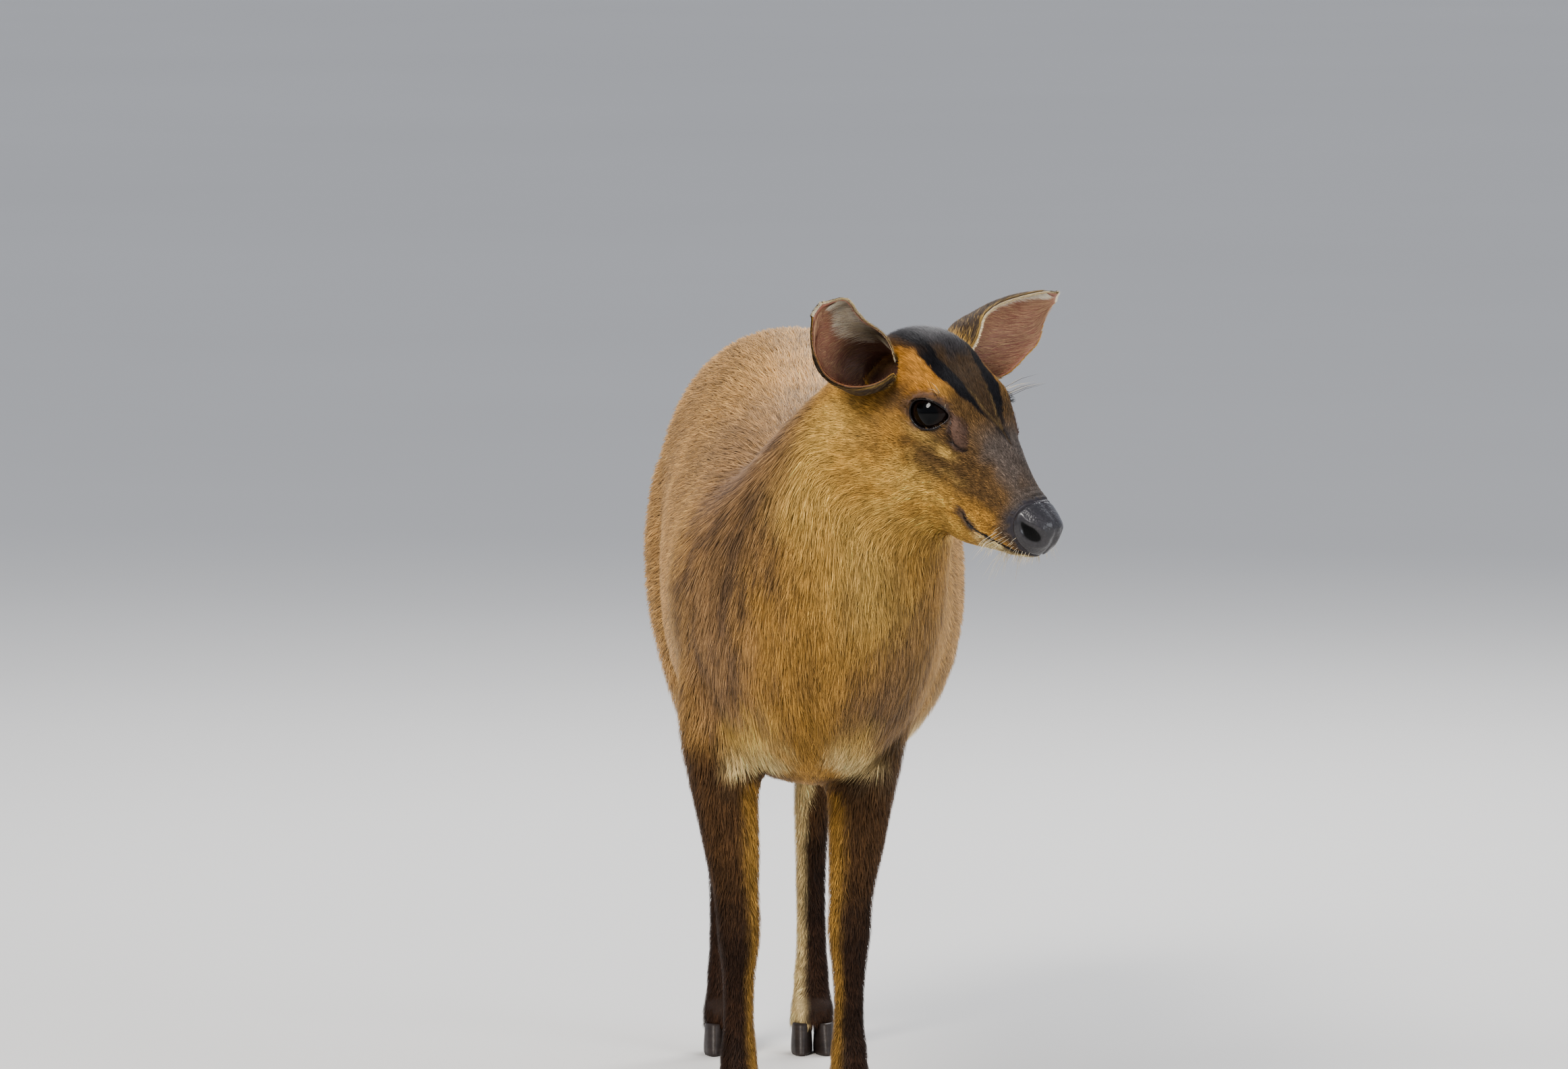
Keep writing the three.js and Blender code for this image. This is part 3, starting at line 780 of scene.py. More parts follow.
def cheeks_and_muzzle(local, c, patch):
    """The coat of the head's sides: ochre cheeks, dark grizzled muzzle, orange temples and grey bridge."""
    y, z = local[:, 1], local[:, 2]
    shade = np.tile(c["cheek"], (len(local), 1))
    # Dark grizzled hair ahead of the eye and over the side of the muzzle
    muzzle = rise(12, -14, y) * rise(-44 + 0.15 * y, -24 + 0.15 * y, z + 3 * patch)
    shade = mix(shade, c["grizzle"], 0.9 * muzzle)
    # Orange temples above and behind the eyes
    temple = rise(-6, 8, y + 3 * patch) * rise(-12, 4, z + 0.1 * y + 3 * patch)
    shade = mix(shade, c["orange"], temple)
    behind = bump_at(y, 22, 12) * bump_at(z, -4, 12)
    below = bump_at(y, -10, 22) * bump_at(z + 0.25 * y, -24, 9)
    shade = mix(shade, c["grizzle"] * 1.1, np.clip(0.8 * behind + 0.45 * below, 0, 1))
    # Dark and pale bands along the cheek, and gold at the side of the lips
    bands = Waves(13, 9.0, stretch=(1, 1.5, 0.8))(local)
    shade = mix(shade, c["grizzle"] * 1.1, 0.3 * rise(0.2, 1.1, bands) * rise(6, -12, z) * rise(-62, -40, y))
    bright = 0.6 * bump_at(y, -14, 22) * bump_at(z, -46, 12)
    bright += 0.22 * rise(0.1, 1.1, -bands) * rise(-14, -34, z) * rise(-50, -30, y)
    shade = mix(shade, c["straw"], np.clip(bright, 0, 1))
    gold = bump_at(y, -60, 20) * rise(-30, -40, z)
    shade = mix(shade, c["cheek"] * 1.1, 0.7 * gold)
    # The darker bridge of the nose
    bridge = rise(-20, -42, y) * rise(-22, -6, z - 0.32 * (y + 60) + 2 * patch + 8 * rise(-70, -85, y))
    shade = mix(shade, c["bridge"], bridge)
    snout = rise(-66, -80, y) * rise(-50, -40, z)
    shade = mix(shade, c["bridge"] * 0.9, 0.85 * snout)
    return shade


def forehead_marks(shade, local, c, patch, fine):
    """The forehead's kite between the black stripes, its pale lines, and the dark crown behind it with a
    painted blue grey sheen.
    """
    y, z = local[:, 1], local[:, 2]
    inner, half = stripe_reach(local)
    top = rise(-12, -3, z) * rise(72, 60, y)
    kite = rise(0, 1.5, inner) * rise(-46, -40, y) * top
    shade = mix(shade, c["grizzle"] * 0.78, kite)
    line = mix(c["straw"], c["bridge"], 0.5) * 0.62
    shade = mix(shade, line, 0.45 * kite * bump_at(inner, half + 1.5, 1.1) * rise(2, -8, y))
    # The crown's own dark hair, tinted blue grey by a painted sheen of the sky
    dark_crown_and_sheen = rise(18, 34, y + 4 * patch) * rise(-9, 0, inner) * top
    shade = mix(shade, c["bridge"] * np.array((0.36, 0.4, 0.5)), dark_crown_and_sheen)
    edge = half + 0.9 * patch + 0.6 * fine
    stripe = rise(edge + 1.3, edge - 1.1, np.abs(inner)) * rise(-47, -38, y) * top
    return mix(shade, c["stripe"], stripe * (1 - 0.35 * rise(24, 44, y) - 0.3 * rise(-14, -34, y)))


def throat_and_chin(shade, local, c, patch, fine):
    """Yellow under the gland, straw under the jaw and cream on the chin."""
    x, y, z = np.abs(local[:, 0]), local[:, 1], local[:, 2]
    shade = mix(shade, c["straw"], 0.7 * bump_at(y, -22, 6) * bump_at(z, -17, 3.5) * rise(15, 22, x))
    shade = mix(shade, c["straw"] * 0.8, 0.5 * bump_at(y, -4, 12) * bump_at(z, -15, 4) * rise(15, 22, x))
    throat = rise(-48, -66, z + 0.35 * (y + 20) + 5 * patch) * rise(-70, -40, y)
    shade = mix(shade, c["straw"] * 0.86, 0.55 * throat)
    chin = rise(0, -2, mouth_reach(local)[0]) * rise(-52, -70, y + 2 * fine)
    shade = mix(shade, c["cream"], 0.9 * chin)
    return mix(shade, c["grizzle"] * 0.7, 0.5 * chin * rise(0.2, 0.7, fine))


def round_eye(shade, local, side, c, fine):
    """The bare ring, the lids and the scent gland of one side, with their bare skin and their wet parts."""
    reach, _, b, d = eye_reach(local, side)
    ahead = rise(0, 6, d) * (mirrored(local, side)[:, 0] > 0)
    above = rise(0, 8, b)
    ring = rise(5.2 + 1.6 * above, 1.8 + 1.2 * above, reach + 0.9 * fine) * ahead
    shade = mix(shade, c["bare"] * (0.44 + 0.72 * rise(2.0, 6.0, reach))[:, None], 0.85 * ring)
    lid = rise(2.2, 1.5, reach + 0.15 * fine) * ahead
    shade = mix(shade, palette("lid"), lid)
    size, down, across, out = gland_reach(local, side)
    near_gland = np.abs(out) < 9
    fold = rise(1.35, 1.1, size - 0.05 * across + 0.4 * rise(0, -10, down) + 0.08 * fine) * near_gland
    lobe = 0.62 + 0.3 * rise(1.1, 0.5, size)
    shade = mix(shade, c["bare"] * np.array((1.06, 0.96, 0.88)) * lobe[:, None], 0.85 * fold)
    # The gland's slit and the crease under its fold, painted dark: painted shade in these grooves
    slit = bump_at(across, 3.0 + 0.2 * down, 1.1) * rise(-9, -4, down) * rise(11, 8, down) * near_gland
    under = bump_at(size, 1.2, 0.12) * rise(5, 10, down) * near_gland
    shade = mix(shade, palette("lid") * 1.2, np.clip(1.3 * slit + 0.9 * under, 0, 1))
    return shade, np.max([ring, 0.75 * fold, slit], axis=0), np.maximum(lid, 0.7 * slit)


def face_colours(local):
    """The head's coat colours, its bare skin and its wet parts, from millimetres in the head's frame."""
    x, y = np.abs(local[:, 0]), local[:, 1]
    patch = Waves(11, 9.0)(local)
    fine = Waves(12, 3.0)(local)
    c = palettes("cheek", "orange", "grizzle", "bridge", "stripe", "straw", "cream", "bare")
    shade = cheeks_and_muzzle(local, c, patch)
    shade = forehead_marks(shade, local, c, patch, fine)
    # Pale orange hair round the roots of the ears, and bare skin in the hollow of their cups painted dark:
    # painted shade deep in the cups
    hollow, root = ear_roots(local)
    shade = mix(shade, mix(c["orange"], c["straw"], 0.5 + 0.3 * fine), root)
    shade = mix(shade, palette("ear") * 0.25, hollow)
    shade = throat_and_chin(shade, local, c, patch, fine)
    bare, wet = [hollow], []
    for side in (1, -1):
        shade, skin, damp = round_eye(shade, local, side, c, fine)
        bare.append(skin)
        wet.append(damp)
    # The mouth's corner, the lips and the border of the nose pad
    lip, near = mouth_reach(local)
    corner = rise(-38, -42, y) * rise(-62, -53, y) * rise(4.6, 2.6, np.abs(lip - 0.4)) * rise(8, 12, x)
    shade = mix(shade, c["bare"] * 0.5, 0.85 * corner)
    lips = near * rise(1.9 + 0.8 * fine, 0.8, np.abs(lip))
    shade = mix(shade, palette("lid"), lips)
    pad = rise(1.2, 1.04, pad_reach(local) + 0.05 * fine)
    shade = mix(shade, palette("nose"), pad)
    bare = np.max([*bare, 0.75 * corner, lips, pad], axis=0)
    return shade, bare, np.max([*wet, 0.6 * lips, 0.5 * pad], axis=0)


def outer_reach(x, side):
    """How far outwards of the middle of the foreleg on its side a place lies."""
    return (x - np.where(side > 0, 46, -31)) * side


def trunk_colours(figure, normals, c, patch, mottle):
    """The trunk and neck: golden brown, grey brown on shoulders and nape, and cream beneath."""
    x, y, z = figure.T
    side = np.sign(x - FIGURE_MIDDLE)
    fold_shadow_waves = Waves(22, 5.5, stretch=(1, 1, 6))(figure)
    shade = np.tile(c["back"], (len(figure), 1))
    # Golden chest and flanks, with a straw strip down from the throat
    front = rise(140, -60, y)
    shade = mix(shade, c["chest"] * 1.12, 0.75 * front)
    shade = mix(shade, c["chest"] * 0.92, 0.8 * rise(350, 270, z + 14 * patch) * rise(170, 0, y))
    strip = rise(-96, -108, y) * bump_at(x, 42 + 0.1 * (400 - z), 26 + 5 * mottle) * rise(318, 372, z)
    shade = mix(shade, c["straw"] * 0.9, 0.8 * strip)
    # A grey brown band down each shoulder with fine dark ripples, painted shadows of the skin's folds, and
    # grey brown along the nape
    at = np.interp(z, (270, 300, 370, 430, 460), (50, 50, 48, 22, 12))
    band = bump_at(np.abs(x - FIGURE_MIDDLE), at + 2, 26 + 5 * mottle) * rise(236, 290, z)
    band *= rise(20, -30, y) * rise(-122, -102, y)
    shade = mix(shade, c["dusk"] * 1.3, 0.62 * band)
    # Dark ripples on the band and the flanks: painted shadows of the skin's folds
    flank = 0.35 * rise(150, 60, y) * rise(250, 290, z)
    fold_shadows = rise(0.0, 0.8, fold_shadow_waves) * np.clip(band * 1.4 + flank, 0, 1)
    shade = mix(shade, c["dusk"] * 0.62, 0.65 * fold_shadows)
    nape = rise(0.35, 0.85, normals[:, 2]) * rise(190, 20, y)
    shade = mix(shade, c["dusk"] * 1.25, 0.5 * nape)
    # Cream belly and tufts where the forelegs leave the chest
    under = rise(-0.4, -0.9, normals[:, 2] + 0.12 * patch) * rise(200, 235, z) * rise(-20, 70, y)
    shade = mix(shade, c["cream"], under)
    outer = outer_reach(x, side)
    above = z - 252 + 0.4 * outer
    tuft = np.hypot(outer / 20, above / np.where(above > 0, 36, 21)) + 0.2 * mottle
    shown = rise(1.4, 0.6, tuft) * rise(20, -10, y) * rise(-110, -80, y)
    return mix(shade, mix(c["cream"], c["straw"], rise(-12, 26, above)), 0.85 * shown)


def leg_colours(shade, figure, normals, c, mottle):
    """Dark fronts and golden inner sides of the legs, cream within the hind legs."""
    x, y, z = figure.T
    side = np.sign(x - FIGURE_MIDDLE)
    outer = outer_reach(x, side)
    fore = rise(282, 248, z + 4 * mottle) * np.maximum(rise(66, 36, y), rise(215, 205, z)) * (y < 150)
    hind = rise(245, 190, z) * (y > 150)
    leg = np.maximum(fore, hind)
    outward = normals[:, 0] * side
    ahead = rise(0.15, -0.55, normals[:, 1]) * rise(-0.75, -0.3, outward)
    ahead = np.maximum(ahead, rise(0.2, 0.8, outward))
    inward = rise(-0.1, -0.7, outward)
    arm = leg * rise(6, 18, outer + 40 * rise(248, 222, z + 0.5 * outer))
    shade = mix(shade, c["chest"] * 0.85, leg * rise(250, 200, z))
    shade = mix(shade, c["leg"], arm * np.maximum(0.9 * ahead, 0.3 * rise(150, 60, z)))
    shade = mix(shade, c["leg"] * 0.6, leg * ahead * rise(190, 110, z))
    shade = mix(shade, mix(c["orange"], c["straw"], 0.5) * 0.9, 0.45 * fore * inward * rise(225, 190, z))
    return mix(shade, c["cream"], 0.75 * hind * inward)


def tail_colours(shade, figure, normals, c):
    """White under the tail and beneath its root, brown on its upper side."""
    x, y, z = figure.T
    rump = rise(408, 432, y) * bump_at(x, 5, 30) * rise(270, 320, z) * rise(425, 395, z) * rise(452, 440, y)
    shade = mix(shade, c["cream"], rump)
    tail = rise(440, 452, y)
    shade = mix(shade, c["cream"] * 1.05, tail)
    upper = rise(-0.1, 0.35, normals[:, 1] + 0.6 * normals[:, 2])
    return mix(shade, mix(c["orange"], c["back"], 0.5), tail * upper)


def body_colours(figure, normals):
    """The coat's colours from the neck to the feet, from millimetres in the figure's own numbers."""
    patch = Waves(21, 60.0)(figure)
    mottle = Waves(23, 16.0)(figure)
    c = palettes("back", "dusk", "chest", "straw", "cream", "orange", "leg")
    shade = trunk_colours(figure, normals, c, patch, mottle)
    shade = leg_colours(shade, figure, normals, c, mottle)
    shade = tail_colours(shade, figure, normals, c)
    return shade * (1 + 0.1 * patch + 0.06 * mottle)[:, None]


def coat_colours(points, normals):
    """Colours, bare skin and wet parts anywhere on the skin, from metres in the row frame."""
    local = to_head(points)
    face, bare, wet = face_colours(local)
    head = head_share(points)
    shade = mix(body_colours(to_figure(points), normals), face, head)
    # The pale sides of the neck, behind the cheeks
    x, y, z = np.abs(local[:, 0]), local[:, 1], local[:, 2]
    pale = rise(42, 56, x) * bump_at(y, 44, 22) * rise(-8, -30, z) * rise(-112, -84, z)
    shade = mix(shade, palette("straw") * 1.05, 0.55 * pale)
    return shade, bare * head, wet * head


# Skin


def near_head(local):
    x, y, z = local.T
    return (np.abs(x) < 52) & (y < 66) & (z > -78) & (z < 60)


def beside_eye(local, side):
    """True on the eye's own half of the head."""
    return mirrored(local, side)[:, 0] > 8


def near_detail(local):
    """The places that need the finest cells: eyes, glands, mouth and nose."""
    lip, near = mouth_reach(local)
    fine = (local[:, 1] < -70) | ((near > 0) & (np.abs(lip) < 5))
    for side in (1, -1):
        reach, _, _, d = eye_reach(local, side)
        fine |= (reach < 9) & (d > -2) & beside_eye(local, side)
        size, _, _, out = gland_reach(local, side)
        fine |= (size < 1.7) & (np.abs(out) < 12)
    return fine & near_head(local)


def split_where(bm, test):
    """Splits the cells whose middle passes the test in four, and rounds the new ones."""
    chosen = test(to_head(face_middles(bm)))
    edges = {edge for face, take in zip(bm.faces, chosen) if take for edge in face.edges}
    bmesh.ops.subdivide_edges(bm, edges=list(edges), cuts=1, use_grid_fill=True)
    bm.verts.index_update()
    points = places(bm)
    share = np.where(test(to_head(points)), 0.5, 0.0)
    set_places(bm, relaxed(bm, points, share, 3))


def set_on_ring(verts, side, wide, high):
    """Moves corners straight across onto a ring of the lids."""
    angles = []
    for vert in verts:
        _, a, b, _ = eye_reach(to_head(np.array([vert.co])), side)
        angles.append(math.atan2(b[0] / EYE_TALL, a[0] / EYE_LONG))
    ring = lid_ring(np.array(angles), wide, high)
    for vert, point in zip(verts, from_head(mirrored(ring, side))):
        vert.co = point


def cut_lids(bm):
    """Opens each eye and rolls the edge of the skin in to the eyeball."""
    rolled = []
    for side in (1, -1):
        middles = to_head(face_middles(bm))
        reach, _, _, d = eye_reach(middles, side)
        inside = (reach < 2.2) & (d > 0) & beside_eye(middles, side)
        bmesh.ops.delete(bm, geom=[f for f, take in zip(bm.faces, inside) if take], context="FACES")
        edges = [edge for edge in bm.edges if edge.is_boundary]
        starts = to_head(np.array([edge.verts[0].co for edge in edges]))
        here = beside_eye(starts, side) & (eye_reach(starts, side)[0] < 5)
        edges = [edge for edge, take in zip(edges, here) if take]
        set_on_ring(list({vert for edge in edges for vert in edge.verts}), side, *LID_BORDER)
        for wide, high in LID_ROLL:
            made = bmesh.ops.extrude_edge_only(bm, edges=edges)["geom"]
            edges = [e for e in made if isinstance(e, bmesh.types.BMEdge) and e.is_boundary]
            set_on_ring([v for v in made if isinstance(v, bmesh.types.BMVert)], side, wide, high)
            rolled += [f for f in made if isinstance(f, bmesh.types.BMFace)]
    put_in_order(bm, rolled)
    bmesh.ops.recalc_face_normals(bm, faces=bm.faces)


def sculpt_face(bm):
    """Folds, grooves and creases too fine for the solids."""
    points = places(bm)
    local = to_head(points)
    x, y, z = np.abs(local[:, 0]), local[:, 1], local[:, 2]
    lift = np.zeros(len(points))
    # The line of the mouth, the lips' edges and the folded corner
    lip, near = mouth_reach(local)
    lift -= 1.5 * near * bump_at(lip, 0, 0.9)
    lift += 0.5 * near * bump_at(lip, 2.2, 1.3) + 0.35 * near * bump_at(lip, -2.2, 1.2)
    lift -= 0.9 * bump_at(y, -45, 5) * bump_at(lip, 3.2, 1.2) * rise(8, 12, x)
    # Creases across the bridge behind the nose pad
    top = rise(-34, -24, z) * rise(-62, -70, y) * rise(-88, -80, y)
    lift += 0.34 * top * np.sin((y + 1.5 * np.cos(x / 5)) * 2 * math.pi / 3.4)
    for side in (1, -1):
        reach, _, b, d = eye_reach(local, side)
        ahead = rise(0, 5, d) * beside_eye(local, side) * (reach > 2.6)
        lift -= 0.55 * ahead * bump_at(reach, 4.6, 0.9) * rise(-6, 2, b)
        lift += 0.45 * ahead * bump_at(reach, 6.2, 1.2) * rise(-6, 2, b)
        lift -= 0.35 * ahead * bump_at(reach, 5.0, 0.8) * rise(2, -6, b)
        size, down, across, out = gland_reach(local, side)
        gland = (np.abs(out) < 9) * (reach > 2.6)
        lift += 0.9 * gland * rise(1.15, 0.5, size)
        lift -= 1.6 * gland * bump_at(across, 3.0 + 0.2 * down, 0.8) * rise(-9, -4, down) * rise(11, 8, down)
        lift -= 0.8 * gland * bump_at(size, 1.22, 0.12) * rise(2, 8, down)
    # Room behind the nose pad's nostrils
    hollow = np.linalg.norm(np.stack((x, y, z), 1) - NOSTRIL_AT, axis=1) / NOSTRIL_ROOM
    lift -= 4.0 * rise(1, 0.5, hollow)
    set_places(bm, points + facings(bm) * (lift * near_head(local) * MM)[:, None])


def hollow_ears(bm):
    """Sinks the skin within each ear's cup, which gives the cup its depth."""
    points = places(bm)
    local = to_head(points)
    hollow, _ = ear_roots(local)
    for name in EARS:
        base, ahead, _, _ = ear_axes(name)
        here = hollow * (np.sign(local[:, 0]) == np.sign(base[0]))
        points = points - (here * EAR_CUP_DEPTH * MM)[:, None] * (ahead @ HEAD_TURN.T)
    set_places(bm, points)


def dress_feet(bm):
    """Brings the skin down over the hooves' upper edges, and out to the dewclaws."""
    points = places(bm)
    outward = facings(bm) * (1, 1, 0)
    points = points + outward * (1.9 * MM * rise(42, 33, points[:, 2] / MM))[:, None]
    points[:, 2] -= 3.2 * MM * rise(34, 24, points[:, 2] / MM)
    for name in CLAWS:
        if name.startswith("dewclaw"):
            toward = np.array(node_middle(name)) - points
            near = rise(17, 6, np.linalg.norm(toward, axis=1) / MM)
            points = points + toward * (0.5 * near)[:, None]
    set_places(bm, points)


def soften_lids(bm):
    """Evens out the skin round the rolled edges of the lids."""
    points = places(bm)
    local = to_head(points)
    share = np.zeros(len(points))
    for side in (1, -1):
        reach, _, _, d = eye_reach(local, side)
        close = beside_eye(local, side) & (d > -4) & (reach > 2.7) & (reach < 9)
        share = np.where(close, 0.5, share)
    set_places(bm, relaxed(bm, points, share, 8))


def make_skin():
    """The skin as a mesh, with its lids cut, its face sculpted and its colours stored."""
    flesh = merged_copy(FLESH + ["eye_left", "eye_right", "tail"], JOIN * MM)
    bm = remeshed(flesh, bpy.context.scene.muntjac_skin.cell)
    points = relaxed(bm, places(bm), 0.5, 4)
    # The withers: the neck runs into the trunk without a crease
    figure = to_figure(points)
    withers = rise(78, 48, np.hypot(figure[:, 1] - WITHERS_AT[0], figure[:, 2] - WITHERS_AT[1]))
    set_places(bm, relaxed(bm, points, 0.5 * withers, 70))
    split_where(bm, near_head)
    split_where(bm, near_detail)
    points = places(bm)
    points = points - facings(bm) * ((coat_depth(points) + JOIN) * MM)[:, None]
    soft = np.where(near_head(to_head(points)), 0.25, 0.5)
    set_places(bm, relaxed(bm, points, soft, 2))
    hollow_ears(bm)
    dress_feet(bm)
    cut_lids(bm)
    soften_lids(bm)
    sculpt_face(bm)
    bmesh.ops.triangulate(bm, faces=bm.faces)
    mesh = smooth_mesh(bm, "skin")
    shade, bare, wet = coat_colours(mesh_points(mesh), mesh_normals(mesh))
    paint(mesh, "Coat", shade * (0.68 + 0.32 * bare)[:, None])
    paint(mesh, "Bare", bare)
    paint(mesh, "Wet_and_nostril_shade", wet)
    return mesh


class MUNTJAC_OT_skin(bpy.types.Operator):
    """Makes one skin round the trunk, neck, head and legs"""

    bl_idname = "muntjac.skin"
    bl_label = "Skin"

    def execute(self, context):
        new_piece("skin", make_skin(), hide_material(), [n for n in FLESH if n != "nose"] + ["tail"])
        return {"FINISHED"}


# Eyes, nose, ears and horn


class MUNTJAC_OT_eyes(bpy.types.Operator):
    """Makes the eyeballs, each with its iris and cornea"""

    bl_idname = "muntjac.eyes"
    bl_label = "Eyes"

    def execute(self, context):
        material = eye_material()
        ahead, along, up = eye_axes()
        for name, side in (("left", 1), ("right", -1)):
            bm = bmesh.new()
            bmesh.ops.create_uvsphere(bm, u_segments=96, v_segments=64, radius=EYE_RADIUS)
            put_in_order(bm, bm.faces)
            turn = np.stack((along, up, ahead), 1)
            points = places(bm)
            middle = np.hypot(points[:, 0], points[:, 1])
            in_front = points[:, 2] > 0
            bulge = np.where(in_front, CORNEA_HIGH * rise(CORNEA_WIDE, 0, middle), 0)
            iris = np.where(in_front, np.hypot(points[:, 0] / IRIS_LONG, points[:, 1] / IRIS_TALL), 2.0)
            points = points * (1 + bulge / EYE_RADIUS)[:, None]
            set_places(bm, from_head(mirrored(points @ turn.T + EYE_AT, side)))
            bmesh.ops.recalc_face_normals(bm, faces=bm.faces)
            mesh = smooth_mesh(bm, f"eyeball_{name}")
            paint(mesh, "Iris", iris)
            new_piece(f"eyeball_{name}", mesh, material, [f"eye_{name}"])
        return {"FINISHED"}


def nostril_reach(local):
    """1 on the edge of the nostril's slanting opening, and less inside it."""
    rel = local - NOSTRIL_AT
    x, y = turned(rel[:, 0], rel[:, 1], NOSTRIL_TURN)
    long, tall = turned(y, rel[:, 2], -NOSTRIL_TILT)
    # The opening bends upwards and narrows towards its outer end
    tall = tall - 0.035 * long**2 * rise(0, 4, long)
    slim = 1 - 0.4 * rise(-2, 8, long)
    tall = tall / (NOSTRIL_TALL * slim)
    return np.sqrt((x / NOSTRIL_DEEP) ** 2 + (long / NOSTRIL_LONG) ** 2 + tall**2)


class MUNTJAC_OT_nose(bpy.types.Operator):
    """Makes the damp nose pad with its nostrils"""

    bl_idname = "muntjac.nose"
    bl_label = "Nose pad"

    def execute(self, context):
        bm = remeshed(merged_copy(["nose"]), NOSE_CELL * MM)
        points = relaxed(bm, places(bm), 0.5, 8)
        set_places(bm, points)
        local = to_head(points)
        x, y, z = np.abs(local[:, 0]), local[:, 1], local[:, 2]
        hole = nostril_reach(np.stack((x, y, z), 1))
        lift = 0.55 * bump_at(hole, 1.75, 0.4)
        lift -= 0.8 * bump_at(x, 0, 0.9) * rise(-32, -38, z)
        lift -= 0.45 * bump_at(x, 0, 1.6) * rise(-36, -30, z)
        set_places(bm, points + facings(bm) * (lift * MM)[:, None])
        mesh = smooth_mesh(bm, "nose_pad")
        paint(mesh, "Bare", bump_at(hole, 1.6, 0.6))
        # 1 inside each nostril, where the material paints it black: painted shade of the opening
        paint(mesh, "Wet_and_nostril_shade", rise(1.25, 0.95, hole))
        new_piece("nose_pad", mesh, nose_material(), ["nose"])
        return {"FINISHED"}


def ear_point(name, t, edge, out=0.0):
    """A place on an ear's outer face: t from root to tip, edge from -1 to 1 across it, out in mm off it."""
    base, ahead, face, side = ear_axes(name)
    roll = smooth_steps(EAR_ROLL, t)
    angle = np.radians(roll[..., 1] * edge - np.sign(ahead[0]) * roll[..., 3])
    radius = roll[..., 0] + out
    reach = np.where(t > 0, np.maximum(t, 0) ** EAR_LEAN_POWER, t)
    point = base + ahead * (EAR_LENGTH * reach)[..., None]
    point = point + side * (radius * np.sin(angle))[..., None]
    lift = roll[..., 0] * np.clip(t, 0, 1) - radius * np.cos(angle) - roll[..., 2]
    return point + face * lift[..., None]


class MUNTJAC_OT_ears(bpy.types.Operator):
    """Makes the thin cups of the ears"""

    bl_idname = "muntjac.ears"
    bl_label = "Ears"

    def execute(self, context):
        material = ear_material()
        for name in EARS:
            bm = bmesh.new()
            bmesh.ops.create_grid(bm, x_segments=44, y_segments=64, size=0.5)
            grid = places(bm)
            edge, t = grid[:, 0] * 2, grid[:, 1] * 1.14 + 0.43
            local = ear_point(name, t, edge)
            set_places(bm, from_head(local))
            bm.normal_update()
            base, _, opening, _ = ear_axes(name)
            outward = np.sum([face.normal * face.calc_area() for face in bm.faces], axis=0) @ HEAD_TURN
            if outward @ opening > 0:
                bmesh.ops.reverse_faces(bm, faces=bm.faces)
                bm.normal_update()
            count = len(bm.verts)
            bmesh.ops.solidify(bm, geom=bm.faces[:], thickness=EAR_WALL * MM)
            put_in_order(bm, bm.faces)
            mesh = smooth_mesh(bm, f"ear_skin_{name}")
            points = to_head(mesh_points(mesh))
            inside = (np.arange(len(points)) >= count).astype(float)
            far = rise(0, 1, np.linalg.norm(points - base, axis=1) / EAR_LENGTH)
            shade = mix(palette("grizzle"), palette("bridge"), far)
            # The pink inner skin darker towards the root: painted shade deep in the cup
            pink = palette("ear") * (0.28 + 0.72 * rise(0.1, 0.55, far))[:, None]
            paint(mesh, "Coat", mix(shade, pink, inside))
            paint(mesh, "Bare", inside)
            new_piece(f"ear_skin_{name}", mesh, material, [f"ear_{name}"])
        return {"FINISHED"}


class MUNTJAC_OT_horn(bpy.types.Operator):
    """Makes the hooves and the dewclaws"""

    bl_idname = "muntjac.horn"
    bl_label = "Hooves and dewclaws"

    def execute(self, context):
        material = horn_material()
        for name in CLAWS:
            bm = remeshed(merged_copy([name]), 1.0 * MM)
            points = relaxed(bm, places(bm), 0.5, 3)
            if name.startswith("hoof"):
                points[:, 2] = np.maximum(points[:, 2], 0)
            set_places(bm, points)
            new_piece(f"{name}_horn", smooth_mesh(bm, f"{name}_horn"), material, [name])
        return {"FINISHED"}


# Coat


def lay_direction(points, normals):
    """The way the hair lies, along the skin, from metres in the row frame."""
    local, figure = to_head(points), to_figure(points)
    head = head_share(points)
    side = np.sign(local[:, 0])
    droop = -0.05 - 0.55 * rise(-8, -40, local[:, 2]) * rise(-60, 10, local[:, 1])
    on_head = unit(np.stack([0.10 * side, np.ones(len(points)), droop], 1)) @ HEAD_TURN.T
    neck = rise(80, -60, figure[:, 1])
    front = rise(0.1, -0.6, normals[:, 1]) * neck
    down = np.tile((0.0, 0.12, -1.0), (len(points), 1))
    back = np.stack([np.zeros(len(points)), np.ones(len(points)), np.full(len(points), -0.42)], 1)
    along_neck = unit(np.tile((-0.30, 0.62, -0.72), (len(points), 1)))
    on_body = mix(back, along_neck, neck)
    on_body = mix(on_body, down, front)
    on_body = mix(on_body, down, rise(330, 190, figure[:, 2]))
    on_body = mix(on_body, down, 0.8 * rise(400, 450, figure[:, 1]))
    lay = mix(on_body, on_head, head)
    lay = lay - normals * (lay * normals).sum(1)[:, None]
    return unit(lay)


